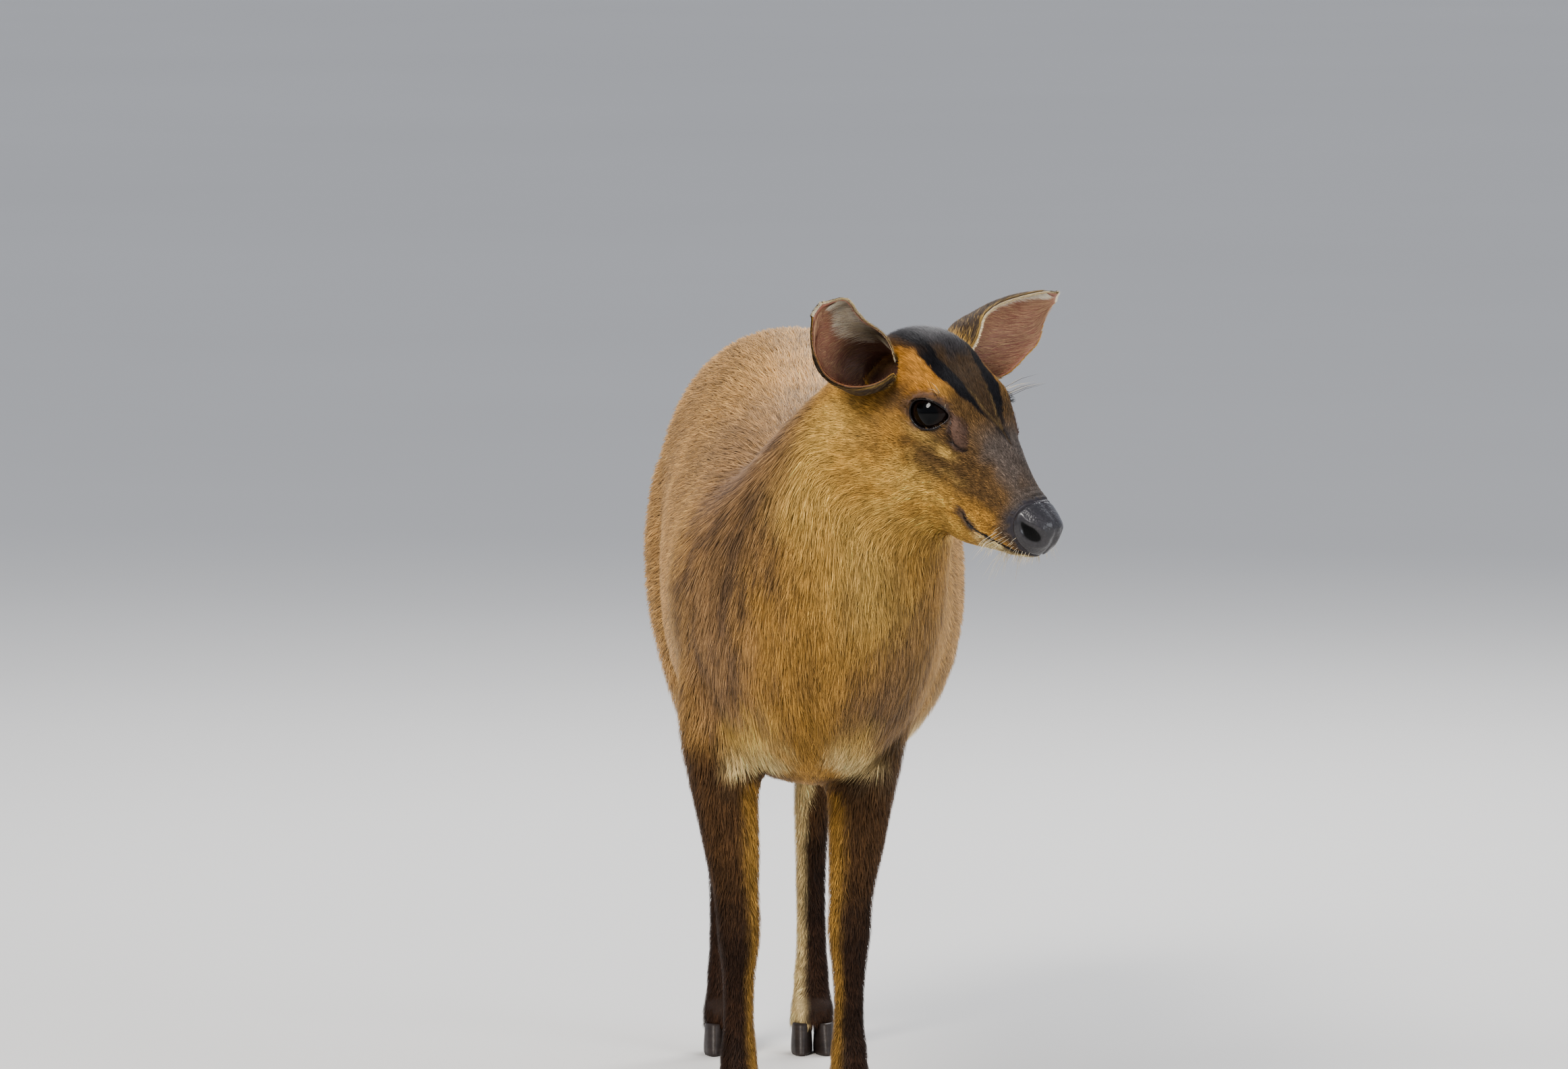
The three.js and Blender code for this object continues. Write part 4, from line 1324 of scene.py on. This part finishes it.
def skin_uv(points):
    """A place on an unwrap of the skin: rolled off round the trunk, the head and each leg."""
    local, figure = to_head(points), to_figure(points)
    x, y, z = figure.T
    round_trunk = np.arctan2(x - 15, z - 350) / (2 * np.pi) + 0.5
    uv = np.stack((0.02 + 0.58 * np.clip((y + 120) / 620, 0, 1), 0.03 + 0.44 * round_trunk), 1)
    round_head = np.arctan2(local[:, 0], local[:, 2] + 22) / (2 * np.pi) + 0.5
    on_head = np.stack((0.02 + 0.58 * np.clip((local[:, 1] + 110) / 200, 0, 1), 0.52 + 0.44 * round_head), 1)
    uv = np.where((head_share(points) > 0.5)[:, None], on_head, uv)
    for i, (at_x, at_y) in enumerate(LEG_MIDDLES):
        leg = (z < LEG_TOP) & ((y > FORE_AND_HIND) == (at_y > FORE_AND_HIND))
        leg &= (x > FIGURE_MIDDLE) == (at_x > FIGURE_MIDDLE)
        round_leg = np.arctan2(x - at_x, y - at_y) / (2 * np.pi) + 0.5
        on_leg = np.stack((0.64 + 0.33 * np.clip(z / 220, 0, 1), 0.03 + 0.24 * i + 0.2 * round_leg), 1)
        uv = np.where(leg[:, None], on_leg, uv)
    return uv


def strips(name, material, slot, foot, middle, tip, facing, tip_facing, wide, shades, uv):
    """Tufts as thin strips through a foot, a middle and a pointed tip, with colours for the three."""
    count = len(foot)
    across = unit(np.cross(tip - foot, facing)) * (wide * 0.5)[:, None]
    verts = np.stack((foot - across, foot + across, middle - across * 0.85, middle + across * 0.85, tip), 1)
    # A quad and a triangle for each tuft
    start = (np.arange(count) * 5)[:, None]
    loops = np.concatenate((start + np.array((0, 1, 3, 2)), start + np.array((2, 3, 4))), 1).ravel()
    sizes = np.tile((4, 3), count)
    mesh = bpy.data.meshes.new(name)
    mesh.vertices.add(count * 5)
    mesh.vertices.foreach_set("co", verts.ravel().astype(np.float32))
    mesh.loops.add(len(loops))
    mesh.loops.foreach_set("vertex_index", loops.astype(np.int32))
    mesh.polygons.add(count * 2)
    starts = np.r_[0, np.cumsum(sizes)[:-1]]
    mesh.polygons.foreach_set("loop_start", starts.astype(np.int32))
    mesh.polygons.foreach_set("use_smooth", np.ones(count * 2, bool))
    mesh.update(calc_edges=True)
    round_off = unit(across) * 0.35
    rounded = np.stack((facing - round_off, facing + round_off) * 2 + (tip_facing,), 1)
    mesh.normals_split_custom_set_from_vertices(unit(rounded).reshape(-1, 3).tolist())
    root, body, end = shades
    paint(mesh, "Coat", np.stack((root, root, body, body, end), 1).reshape(-1, 3))
    spots = np.array(((-1, -1), (1, -1), (-0.7, 0), (0.7, 0), (0, 1))) * TUFT_ON_UNWRAP
    corner = (uv[:, None] + spots).reshape(-1, 2)[loops]
    layer = mesh.uv_layers.new(name="OFBake")
    layer.data.foreach_set("uv", np.clip(corner, 0, 1).astype(np.float32).ravel())
    return new_piece(name, mesh, material)


def skin_roots(skin, count, weight, seed):
    """Seeded places on the skin, spread by area times weight, with the skin's normals there.

    The weight is given as a function of places, low and high, with the low and the high to ask it for.
    """
    mesh = skin.data
    points, normals = mesh_points(mesh), mesh_normals(mesh)
    corners = np.empty(len(mesh.polygons) * 3, np.int32)
    mesh.polygons.foreach_get("vertices", corners)
    corners = corners.reshape(-1, 3)
    a, b, c = points[corners[:, 0]], points[corners[:, 1]], points[corners[:, 2]]
    area = np.linalg.norm(np.cross(b - a, c - a), axis=1) * 0.5
    dense, low, high = weight
    share = area * dense((a + b + c) / 3, low, high)
    if share.sum() == 0:
        raise RuntimeError("no skin to grow this part of the coat on")
    draw = np.random.default_rng(seed)
    total = np.cumsum(share)
    picked = np.searchsorted(total, (np.arange(count) + draw.uniform(0, 1, count)) / count * total[-1])
    picked = corners[np.clip(picked, 0, len(share) - 1)]
    u, v = draw.uniform(0, 1, count), draw.uniform(0, 1, count)
    fold = u + v > 1
    u[fold], v[fold] = 1 - u[fold], 1 - v[fold]
    shares = np.stack((1 - u - v, u, v), 1)[:, :, None]
    return (points[picked] * shares).sum(1), unit((normals[picked] * shares).sum(1))


def hair_length(points, normals):
    """How long the hair is, in millimetres."""
    local, figure = to_head(points), to_figure(points)
    head = head_share(points)
    x, y, z = np.abs(local[:, 0]), local[:, 1], local[:, 2]
    on_head = 2.2 + 2.4 * rise(-70, 0, y) + 3.5 * rise(10, 60, y)
    on_head += 9 * rise(-34, -72, z) * rise(-50, -5, y)
    on_head += 3.5 * rise(20, 50, y) * rise(0, 12, z) * rise(40, 20, x)
    on_head *= 1 - 0.55 * ear_roots(local)[1]
    on_body = 22 + 4 * rise(0, -80, figure[:, 1]) + 5 * rise(-0.2, -0.8, normals[:, 2])
    leg = rise(310, 190, figure[:, 2])
    on_leg = 7 + 6 * rise(90, 200, figure[:, 2])
    body = on_body * (1 - leg) + on_leg * leg
    return body * (1 - head) + on_head * head


def agouti(shade, draw, spread=0.2):
    """Shades for foot, middle and tip: each tuft has its own lightness, and a pale or a dark tip."""
    count = len(shade)
    body = shade * np.exp(draw.normal(0, spread, count))[:, None]
    pale = draw.uniform(0, 1, count)[:, None] > 0.38
    return body * 0.52, body, np.where(pale, body * 1.35 + 0.012, body * 0.4)


def grow(skin, tree, name, slot, count, weight, wide, seed, material):
    """Part of the coat: tufts rooted on the skin, lying along it with their tips at the coat's surface."""
    roots, normals = skin_roots(skin, count, weight, seed)
    draw = np.random.default_rng(seed + 1000)
    shade, bare, _ = coat_colours(roots, normals)
    # None on bare skin, under the feet, or where it would reach into the cup of an ear
    keep = draw.uniform(0, 1, len(roots)) > bare * 1.2
    keep &= (normals[:, 2] > -0.6) | (to_figure(roots)[:, 2] > 60)
    reach = roots + lay_direction(roots, normals) * (hair_length(roots, normals) * MM)[:, None]
    keep &= ear_roots(to_head(reach))[0] < 0.3
    roots, normals, shade = roots[keep], normals[keep], shade[keep]
    count = len(roots)
    length = hair_length(roots, normals)
    high = np.minimum(coat_depth(roots) + 0.3, length * 0.3) * draw.uniform(0.5, 1.2, count) * MM
    high = np.maximum(high, 0.35 * MM)
    length = length * draw.uniform(0.7, 1.2, count) * MM
    lay = lay_direction(roots, normals)
    swirl = Waves(seed + 7, 14.0)(to_figure(roots)) * 0.12
    lay = unit(lay + np.cross(lay, normals) * (swirl + draw.normal(0, 0.13, count))[:, None])
    # The tip comes to rest over the skin nearest to it
    tip = roots + lay * length[:, None]
    tip_facing = normals.copy()
    for i, place in enumerate(tip):
        found, facing, _, _ = tree.find_nearest(place)
        if found is not None:
            tip[i] = found
            tip_facing[i] = facing
    # The lowest hair hangs free, over the tops of the hooves
    hanging = rise(45, 35, to_figure(roots)[:, 2])
    free = roots + unit(normals * (0.3, 0.3, 0) - (0, 0, 1)) * length[:, None]
    tip = mix(tip, free, hanging)
    middle = (roots + tip) / 2 + unit(normals + tip_facing) * (0.62 * high)[:, None]
    tip = tip + tip_facing * high[:, None]
    clump = Waves(seed, 4.0)(to_figure(roots))
    shade = shade * (1 + 0.16 * clump)[:, None]
    width = wide * draw.uniform(0.7, 1.25, count)
    foot = roots - normals * 0.25 * MM
    grizzled = head_share(roots) * rise(10, -20, to_head(roots)[:, 1])
    shades = agouti(shade, draw, 0.2 + 0.14 * grizzled)
    strips(name, material, slot, foot, middle, tip, normals, tip_facing, width, shades, skin_uv(roots))


def between(values, low, high):
    return (values >= low) & (values < high)


def body_weight(points, low, high):
    """How densely hair grows on the trunk and neck, from low to high along the figure."""
    figure = to_figure(points)
    return between(figure[:, 1], low, high) * (1 - head_share(points)) * rise(150, 230, figure[:, 2])


def face_weight(points, low, high):
    """How densely hair grows on the head, from low to high along it: denser on the muzzle."""
    y = to_head(points)[:, 1]
    return head_share(points) * (1 + 0.8 * rise(10, -40, y)) * between(y, low, high)


def leg_weight(points, low, high):
    """How densely hair grows on the legs, from low to high along the figure: denser near the feet."""
    figure = to_figure(points)
    height = figure[:, 2]
    return between(figure[:, 1], low, high) * rise(235, 190, height) * (1 + rise(150, 60, height))


class MUNTJAC_OT_coat(bpy.types.Operator):
    """Grows the coat over the skin"""

    bl_idname = "muntjac.coat"
    bl_label = "Coat"

    def execute(self, context):
        sizes = context.scene.muntjac_coat
        skin = context.scene.objects["skin"]
        hair = hair_material()
        tree = BVHTree.FromObject(skin, context.evaluated_depsgraph_get())
        kinds = {
            "body": (body_weight, "coat", sizes.body_tufts, sizes.body_wide),
            "head": (face_weight, "coat", sizes.face_tufts, sizes.face_wide),
            "leg": (leg_weight, "leg", sizes.leg_tufts, sizes.body_wide * 0.75),
        }
        for i, (kind, number, share, low, high) in enumerate(COAT_PIECES):
            weight, slot, tufts, wide = kinds[kind]
            name, count = f"coat_{kind}_{number}", int(share * tufts)
            grow(skin, tree, name, slot, count, (weight, low, high), wide, 100 * (i + 1), hair)
        return {"FINISHED"}


# Hair of the ears, and whiskers


def ear_hairs(name, t, edge, ahead, over, length, low, high):
    """Feet, middles, tips and facings of hairs on an ear, in metres.

    A hair starts at t along the ear and edge across it, and runs ahead and over by shares of its length in
    millimetres, from low to high off the outer face. Over is positive towards the ear's upper rim.
    """
    rim = np.sign(EARS[name][1][0])
    roll = smooth_steps(EAR_ROLL, t)
    girth = roll[:, 0] * np.radians(np.maximum(roll[:, 1], 12))
    steps = []
    for share, out in ((0, low), (0.5, low * 0.45 + high * 0.55), (1, high)):
        t_here = t + ahead * length * share / EAR_LENGTH
        edge_here = edge + over * length * share / girth
        steps.append(ear_point(name, t_here, edge_here * rim, out))
    facing = unit(ear_point(name, t, edge * rim, 1.0) - ear_point(name, t, edge * rim, 0.0))
    outward = np.sign(np.atleast_1d(high - low))[:, None]
    return [from_head(step) for step in steps] + [unit(facing * outward @ HEAD_TURN.T)]


def ear_tufts(name, draw, t, edge, ahead, over, length, low, high, wide, shade, tint):
    """Hairs of an ear with some spread in length, lay and lightness, as the rows that strips asks for."""
    count = len(t)
    length = length * draw.uniform(0.65, 1.2, count)
    ahead = ahead + draw.normal(0, 0.13, count)
    over = over + draw.normal(0, 0.13, count)
    foot, middle, tip, facing = ear_hairs(name, t, edge, ahead, over, length, low, high)
    own = shade * np.exp(draw.normal(0, 0.16, count))[:, None]
    uv = np.stack((0.64 + 0.3 * np.clip(t, 0, 1), 0.985 - 0.01 * (edge + 1) / 2), 1)
    width = wide * MM * draw.uniform(0.7, 1.2, count)
    return foot, middle, tip, facing, width, own * tint, own, own * 1.15, uv


def ear_back(name, draw, c, count=11000):
    """The hair behind an ear: dark, with orange at the root and a paler rim."""
    t, edge = draw.uniform(-0.1, 1, count), draw.uniform(-1, 1, count)
    back = mix(c["bridge"] * 0.7, c["grizzle"], draw.uniform(0, 1, count))
    back = mix(back, c["straw"], 0.3 * (draw.uniform(0, 1, count) > 0.88))
    rooted = rise(0.07, -0.03, t + 0.1 * rise(0.5, -0.5, edge) + 0.03 * draw.normal(0, 1, count))
    back = mix(back, mix(c["straw"], c["orange"], draw.uniform(0, 0.7, count)), rooted)
    back = mix(back, c["straw"], 0.5 * rise(0.95, 1.0, np.abs(edge)))
    long = 6.0 * np.clip((1.02 - t) * 10, 0.15, 1)
    return ear_tufts(name, draw, t, edge, 0.95, 0.0, long, -0.2, 1.3, 0.5, back, 0.5)


def ear_lining(name, draw, c, count=3600):
    """Fine hair all over the inside of an ear, fanning from the root and the upper rim."""
    t, edge = draw.uniform(0, 0.93, count), draw.uniform(-0.9, 0.8, count)
    fine = mix(c["ear"], c["cream"], draw.uniform(0.0, 0.45, count))
    # Darker towards the root: painted shade deep in the cup
    fine = fine * (0.5 + 0.5 * rise(0.1, 0.5, t))[:, None]
    over = -0.75 + 0.35 * rise(0.3, 0.9, t)
    long = 9.0 * np.clip((1.0 - t) * 8, 0.3, 1)
    low = -EAR_WALL
    return ear_tufts(name, draw, t, edge, 0.55 + 0.25 * t, over, long, low, low - 1.2, 0.2, fine, 0.95)


def ear_long_hair(name, draw, c, count=1900):
    """Long pale hair into an ear from its upper rim."""
    t = draw.uniform(0.08, 0.88, count)
    edge = 1 - 0.4 * draw.uniform(0, 1, count) ** 1.6
    pale = mix(c["cream"], c["white"], draw.uniform(0.3, 0.8, count))
    long = 12.0 * rise(1.1, 0.3, t) + 4
    low = -EAR_WALL
    return ear_tufts(name, draw, t, edge, 0.6 + 0.2 * t, -0.7, long, low, low - 2.0, 0.24, pale, 0.85)


def upper_fringe(name, draw, c, count=2600):
    """The dense pale fringe of an ear's upper rim."""
    t, edge = draw.uniform(0, 1, count) ** 0.8, np.full(count, 0.99)
    pale = mix(c["cream"], c["white"], draw.uniform(0.0, 0.6, count))
    low = -EAR_WALL / 2
    high = low + draw.uniform(-1, 1, count)
    return ear_tufts(name, draw, t, edge, 0.35, 0.9, 2.8, low, high, 0.4, pale, 0.85)


def lower_fringe(name, draw, c, count=1500):
    """The thin golden fringe of an ear's lower rim."""
    t, edge = draw.uniform(0, 1, count), np.full(count, -0.99)
    gold = mix(c["straw"], c["orange"], draw.uniform(0, 0.6, count))
    low = -EAR_WALL / 2
    high = low + draw.uniform(-0.6, 0.6, count)
    return ear_tufts(name, draw, t, edge, 0.4, -0.8, 1.5, low, high, 0.34, gold, 0.8)


def tip_fringe(name, draw, c, count=500):
    """The pale hairs on the tip of an ear."""
    t, edge = draw.uniform(0.985, 1, count), draw.uniform(-1, 1, count)
    tips = mix(c["cream"], np.full(3, 0.85), draw.uniform(0.1, 0.7, count))
    high = -0.5 + draw.uniform(-1, 1, count)
    return ear_tufts(name, draw, t, edge, 1.0, 0.2, 2.2, -0.5, high, 0.4, tips, 0.85)


class MUNTJAC_OT_ear_hair(bpy.types.Operator):
    """Grows the ears' short back hair, their pale inner hair and the fringe on their rims"""

    bl_idname = "muntjac.ear_hair"
    bl_label = "Ear hair"

    def execute(self, context):
        material = hair_material()
        c = palettes("bridge", "grizzle", "straw", "orange", "cream", "ear")
        c["white"] = np.full(3, 0.8)
        for k, name in enumerate(EARS):
            draw = np.random.default_rng(EAR_SEED + k)
            growths = (ear_back, ear_lining, ear_long_hair, upper_fringe, lower_fringe, tip_fringe)
            parts = [growth(name, draw, c) for growth in growths]
            foot, middle, tip, facing, width, *shades, uv = [np.concatenate(v) for v in zip(*parts)]
            piece = f"coat_ear_{name}"
            strips(piece, material, "ear", foot, middle, tip, facing, facing, width, shades, uv)
        return {"FINISHED"}


class MUNTJAC_OT_whiskers(bpy.types.Operator):
    """Grows the lashes, the bristles of lips and chin and the long whiskers of brow and lip"""

    bl_idname = "muntjac.whiskers"
    bl_label = "Whiskers and lashes"

    def execute(self, context):
        draw = np.random.default_rng(WHISKER_SEED)
        tree = BVHTree.FromObject(context.scene.objects["skin"], context.evaluated_depsgraph_get())
        foot, middle, tip, shade = [], [], [], []

        def bristle(place, way, length, tint, droop=0.12):
            found, normal, _, _ = tree.find_nearest(from_head(np.array([place]))[0])
            found, normal = np.array(found), np.array(normal)
            way = unit(unit(np.array(way) @ HEAD_TURN.T) + normal * 0.35 + draw.normal(0, 0.1, 3))
            length *= draw.uniform(0.7, 1.25) * MM
            sag = np.array((0, 0, -droop * length))
            foot.append(found - normal * 0.4 * MM)
            middle.append(found + way * length * 0.5)
            tip.append(found + way * length + sag)
            shade.append(np.array(tint) * draw.uniform(0.8, 1.15))

        pale, dark = tone(226, 214, 188), tone(70, 54, 44)
        for side in (1, -1):
            # Bristles under the lower lip
            for _ in range(46):
                y = draw.uniform(-100, -60)
                z = np.interp(y, [-112, -86, -66, -50], [-44, -49.2, -52.2, -52]) - draw.uniform(1, 9)
                place = (side * draw.uniform(0, 15), y, z)
                bristle(place, (side * 0.4, -0.25, -0.9), 6.5, pale)
            # Bristles of the upper lip
            for _ in range(26):
                place = (side * draw.uniform(10, 18), draw.uniform(-92, -66), draw.uniform(-47, -38))
                bristle(place, (side * 0.9, -0.1, -0.35), 6.0, pale if draw.uniform() < 0.5 else dark)
            # Long whiskers of the lip and the chin
            for _ in range(7):
                place = (side * 16, draw.uniform(-88, -68), draw.uniform(-46, -40))
                bristle(place, (side * 0.8, 0.1, -0.7), 24.0, pale, 0.25)
            for _ in range(5):
                place = (side * draw.uniform(2, 10), draw.uniform(-84, -66), -60)
                bristle(place, (side * 0.3, 0.1, -1.0), 22.0, pale, 0.2)
            # Brow whiskers
            for _ in range(9):
                place = (side * draw.uniform(28, 34), draw.uniform(-8, 6), draw.uniform(9, 14))
                bristle(place, (side * 0.95, -0.15, 0.6), 24.0, dark if draw.uniform() < 0.6 else pale, 0.1)
            # Lashes of the upper lid
            ring = np.radians(draw.uniform(35, 150, 64))
            roots = lid_ring(ring, 1.2, 2.1)
            out = unit(lid_ring(ring, 5.0, 3.0) - roots) * 0.5 + unit(EYE_LOOK) * 0.9
            for root, way in zip(mirrored(roots, side), mirrored(out, side)):
                bristle(root, way, 3.2, tone(24, 18, 16), 0.3)
        foot, middle, tip, shade = [np.array(v) for v in (foot, middle, tip, shade)]
        # Two strips at right angles make each whisker
        facing = unit(np.cross(tip - foot, draw.normal(size=foot.shape)))
        crossed = unit(np.cross(tip - foot, facing))
        twice = [np.concatenate((v, v)) for v in (foot, middle, tip, shade)]
        facing = np.concatenate((facing, crossed))
        width = np.full(len(facing), WHISKER_WIDE * MM)
        uv = skin_uv(twice[0])
        shades = (twice[3], twice[3], twice[3])
        strips("whiskers", whisker_material(), "coat", *twice[:3], facing, facing, width, shades, uv)
        return {"FINISHED"}


# Stage


def area_light(name, place, size, power, target, tint):
    light = bpy.data.lights.new(name, "AREA")
    light.shape = "DISK"
    light.size = size
    light.energy = power
    light.color = tint
    lamp = bpy.data.objects.new(name, light)
    lamp.location = place
    lamp.rotation_euler = (Vector(target) - Vector(place)).to_track_quat("-Z", "Y").to_euler()
    bpy.context.scene.collection.objects.link(lamp)


class MUNTJAC_OT_stage(bpy.types.Operator):
    """Makes the pale floor, the soft studio light and the camera"""

    bl_idname = "muntjac.stage"
    bl_label = "Floor, light and camera"

    def execute(self, context):
        bm = bmesh.new()
        bmesh.ops.create_grid(bm, x_segments=1, y_segments=1, size=60)
        mesh = bpy.data.meshes.new("floor")
        bm.to_mesh(mesh)
        bm.free()
        floor = bpy.data.objects.new("floor", mesh)
        nodes = Nodes("pale_floor")
        pale = nodes.blend(nodes.noise(1.5), rgba(tone(226, 224, 220)), rgba(tone(218, 216, 212)))
        nodes.set(Base_Color=pale, Roughness=0.8)
        mesh.materials.append(nodes.material)
        context.scene.collection.objects.link(floor)

        world = bpy.data.worlds.new("studio")
        world.use_nodes = True
        sky = world.node_tree.nodes["Background"]
        sky.inputs["Color"].default_value = (0.86, 0.9, 1.0, 1)
        sky.inputs["Strength"].default_value = 0.55
        context.scene.world = world
        context.scene.view_settings.look = "AgX - Medium High Contrast"

        aim = from_figure(STUDIO_AIM)
        for name, (place, size, power, tint) in LIGHTS.items():
            area_light(name, aim + np.array(place), size, power, aim, tint)

        forward = np.array(
            (
                -math.sin(CAMERA_TURN) * math.cos(CAMERA_RISE),
                math.cos(CAMERA_TURN) * math.cos(CAMERA_RISE),
                -math.sin(CAMERA_RISE),
            )
        )
        lens = bpy.data.cameras.new("camera")
        lens.sensor_width = SENSOR
        lens.lens = SENSOR * CAMERA_AWAY / METRES_PER_PIXEL / PHOTO_WIDTH
        lens.clip_start = 0.1
        lens.clip_end = 200
        camera = bpy.data.objects.new("camera", lens)
        camera.location = from_figure(CAMERA_TARGET) - CAMERA_AWAY * forward
        camera.rotation_euler = Vector(forward).to_track_quat("-Z", "Y").to_euler()
        context.scene.collection.objects.link(camera)
        context.scene.camera = camera
        return {"FINISHED"}


class MUNTJAC_PT_panel(bpy.types.Panel):
    """Lists the pieces of the muntjac"""

    bl_idname = "MUNTJAC_PT_panel"
    bl_label = "Muntjac"
    bl_space_type = "VIEW_3D"
    bl_region_type = "UI"
    bl_category = "Muntjac"

    def draw(self, context):
        for step in STEPS:
            self.layout.operator(step.bl_idname)
        for name in SETTINGS:
            group = getattr(context.scene, name)
            for key in group.bl_rna.properties.keys():
                if key not in ("rna_type", "name"):
                    self.layout.prop(group, key)


STEPS = (
    MUNTJAC_OT_stage,
    MUNTJAC_OT_skin,
    MUNTJAC_OT_eyes,
    MUNTJAC_OT_nose,
    MUNTJAC_OT_ears,
    MUNTJAC_OT_horn,
    MUNTJAC_OT_coat,
    MUNTJAC_OT_ear_hair,
    MUNTJAC_OT_whiskers,
)
SETTINGS = {
    "muntjac_skin": SkinSettings,
    "muntjac_coat": CoatSettings,
    "muntjac_colours": ColourSettings,
}


def register():
    for group in (*SETTINGS.values(), *STEPS, MUNTJAC_PT_panel):
        bpy.utils.register_class(group)
    for name, group in SETTINGS.items():
        setattr(bpy.types.Scene, name, PointerProperty(type=group))


def unregister():
    for name in SETTINGS:
        delattr(bpy.types.Scene, name)
    for group in reversed((*SETTINGS.values(), *STEPS, MUNTJAC_PT_panel)):
        bpy.utils.unregister_class(group)


def main():
    register()
    bpy.ops.muntjac.stage()
    bpy.ops.muntjac.skin()
    bpy.ops.muntjac.eyes()
    bpy.ops.muntjac.nose()
    bpy.ops.muntjac.ears()
    bpy.ops.muntjac.horn()
    bpy.ops.muntjac.coat()
    bpy.ops.muntjac.ear_hair()
    bpy.ops.muntjac.whiskers()


if __name__ == "__main__":
    main()
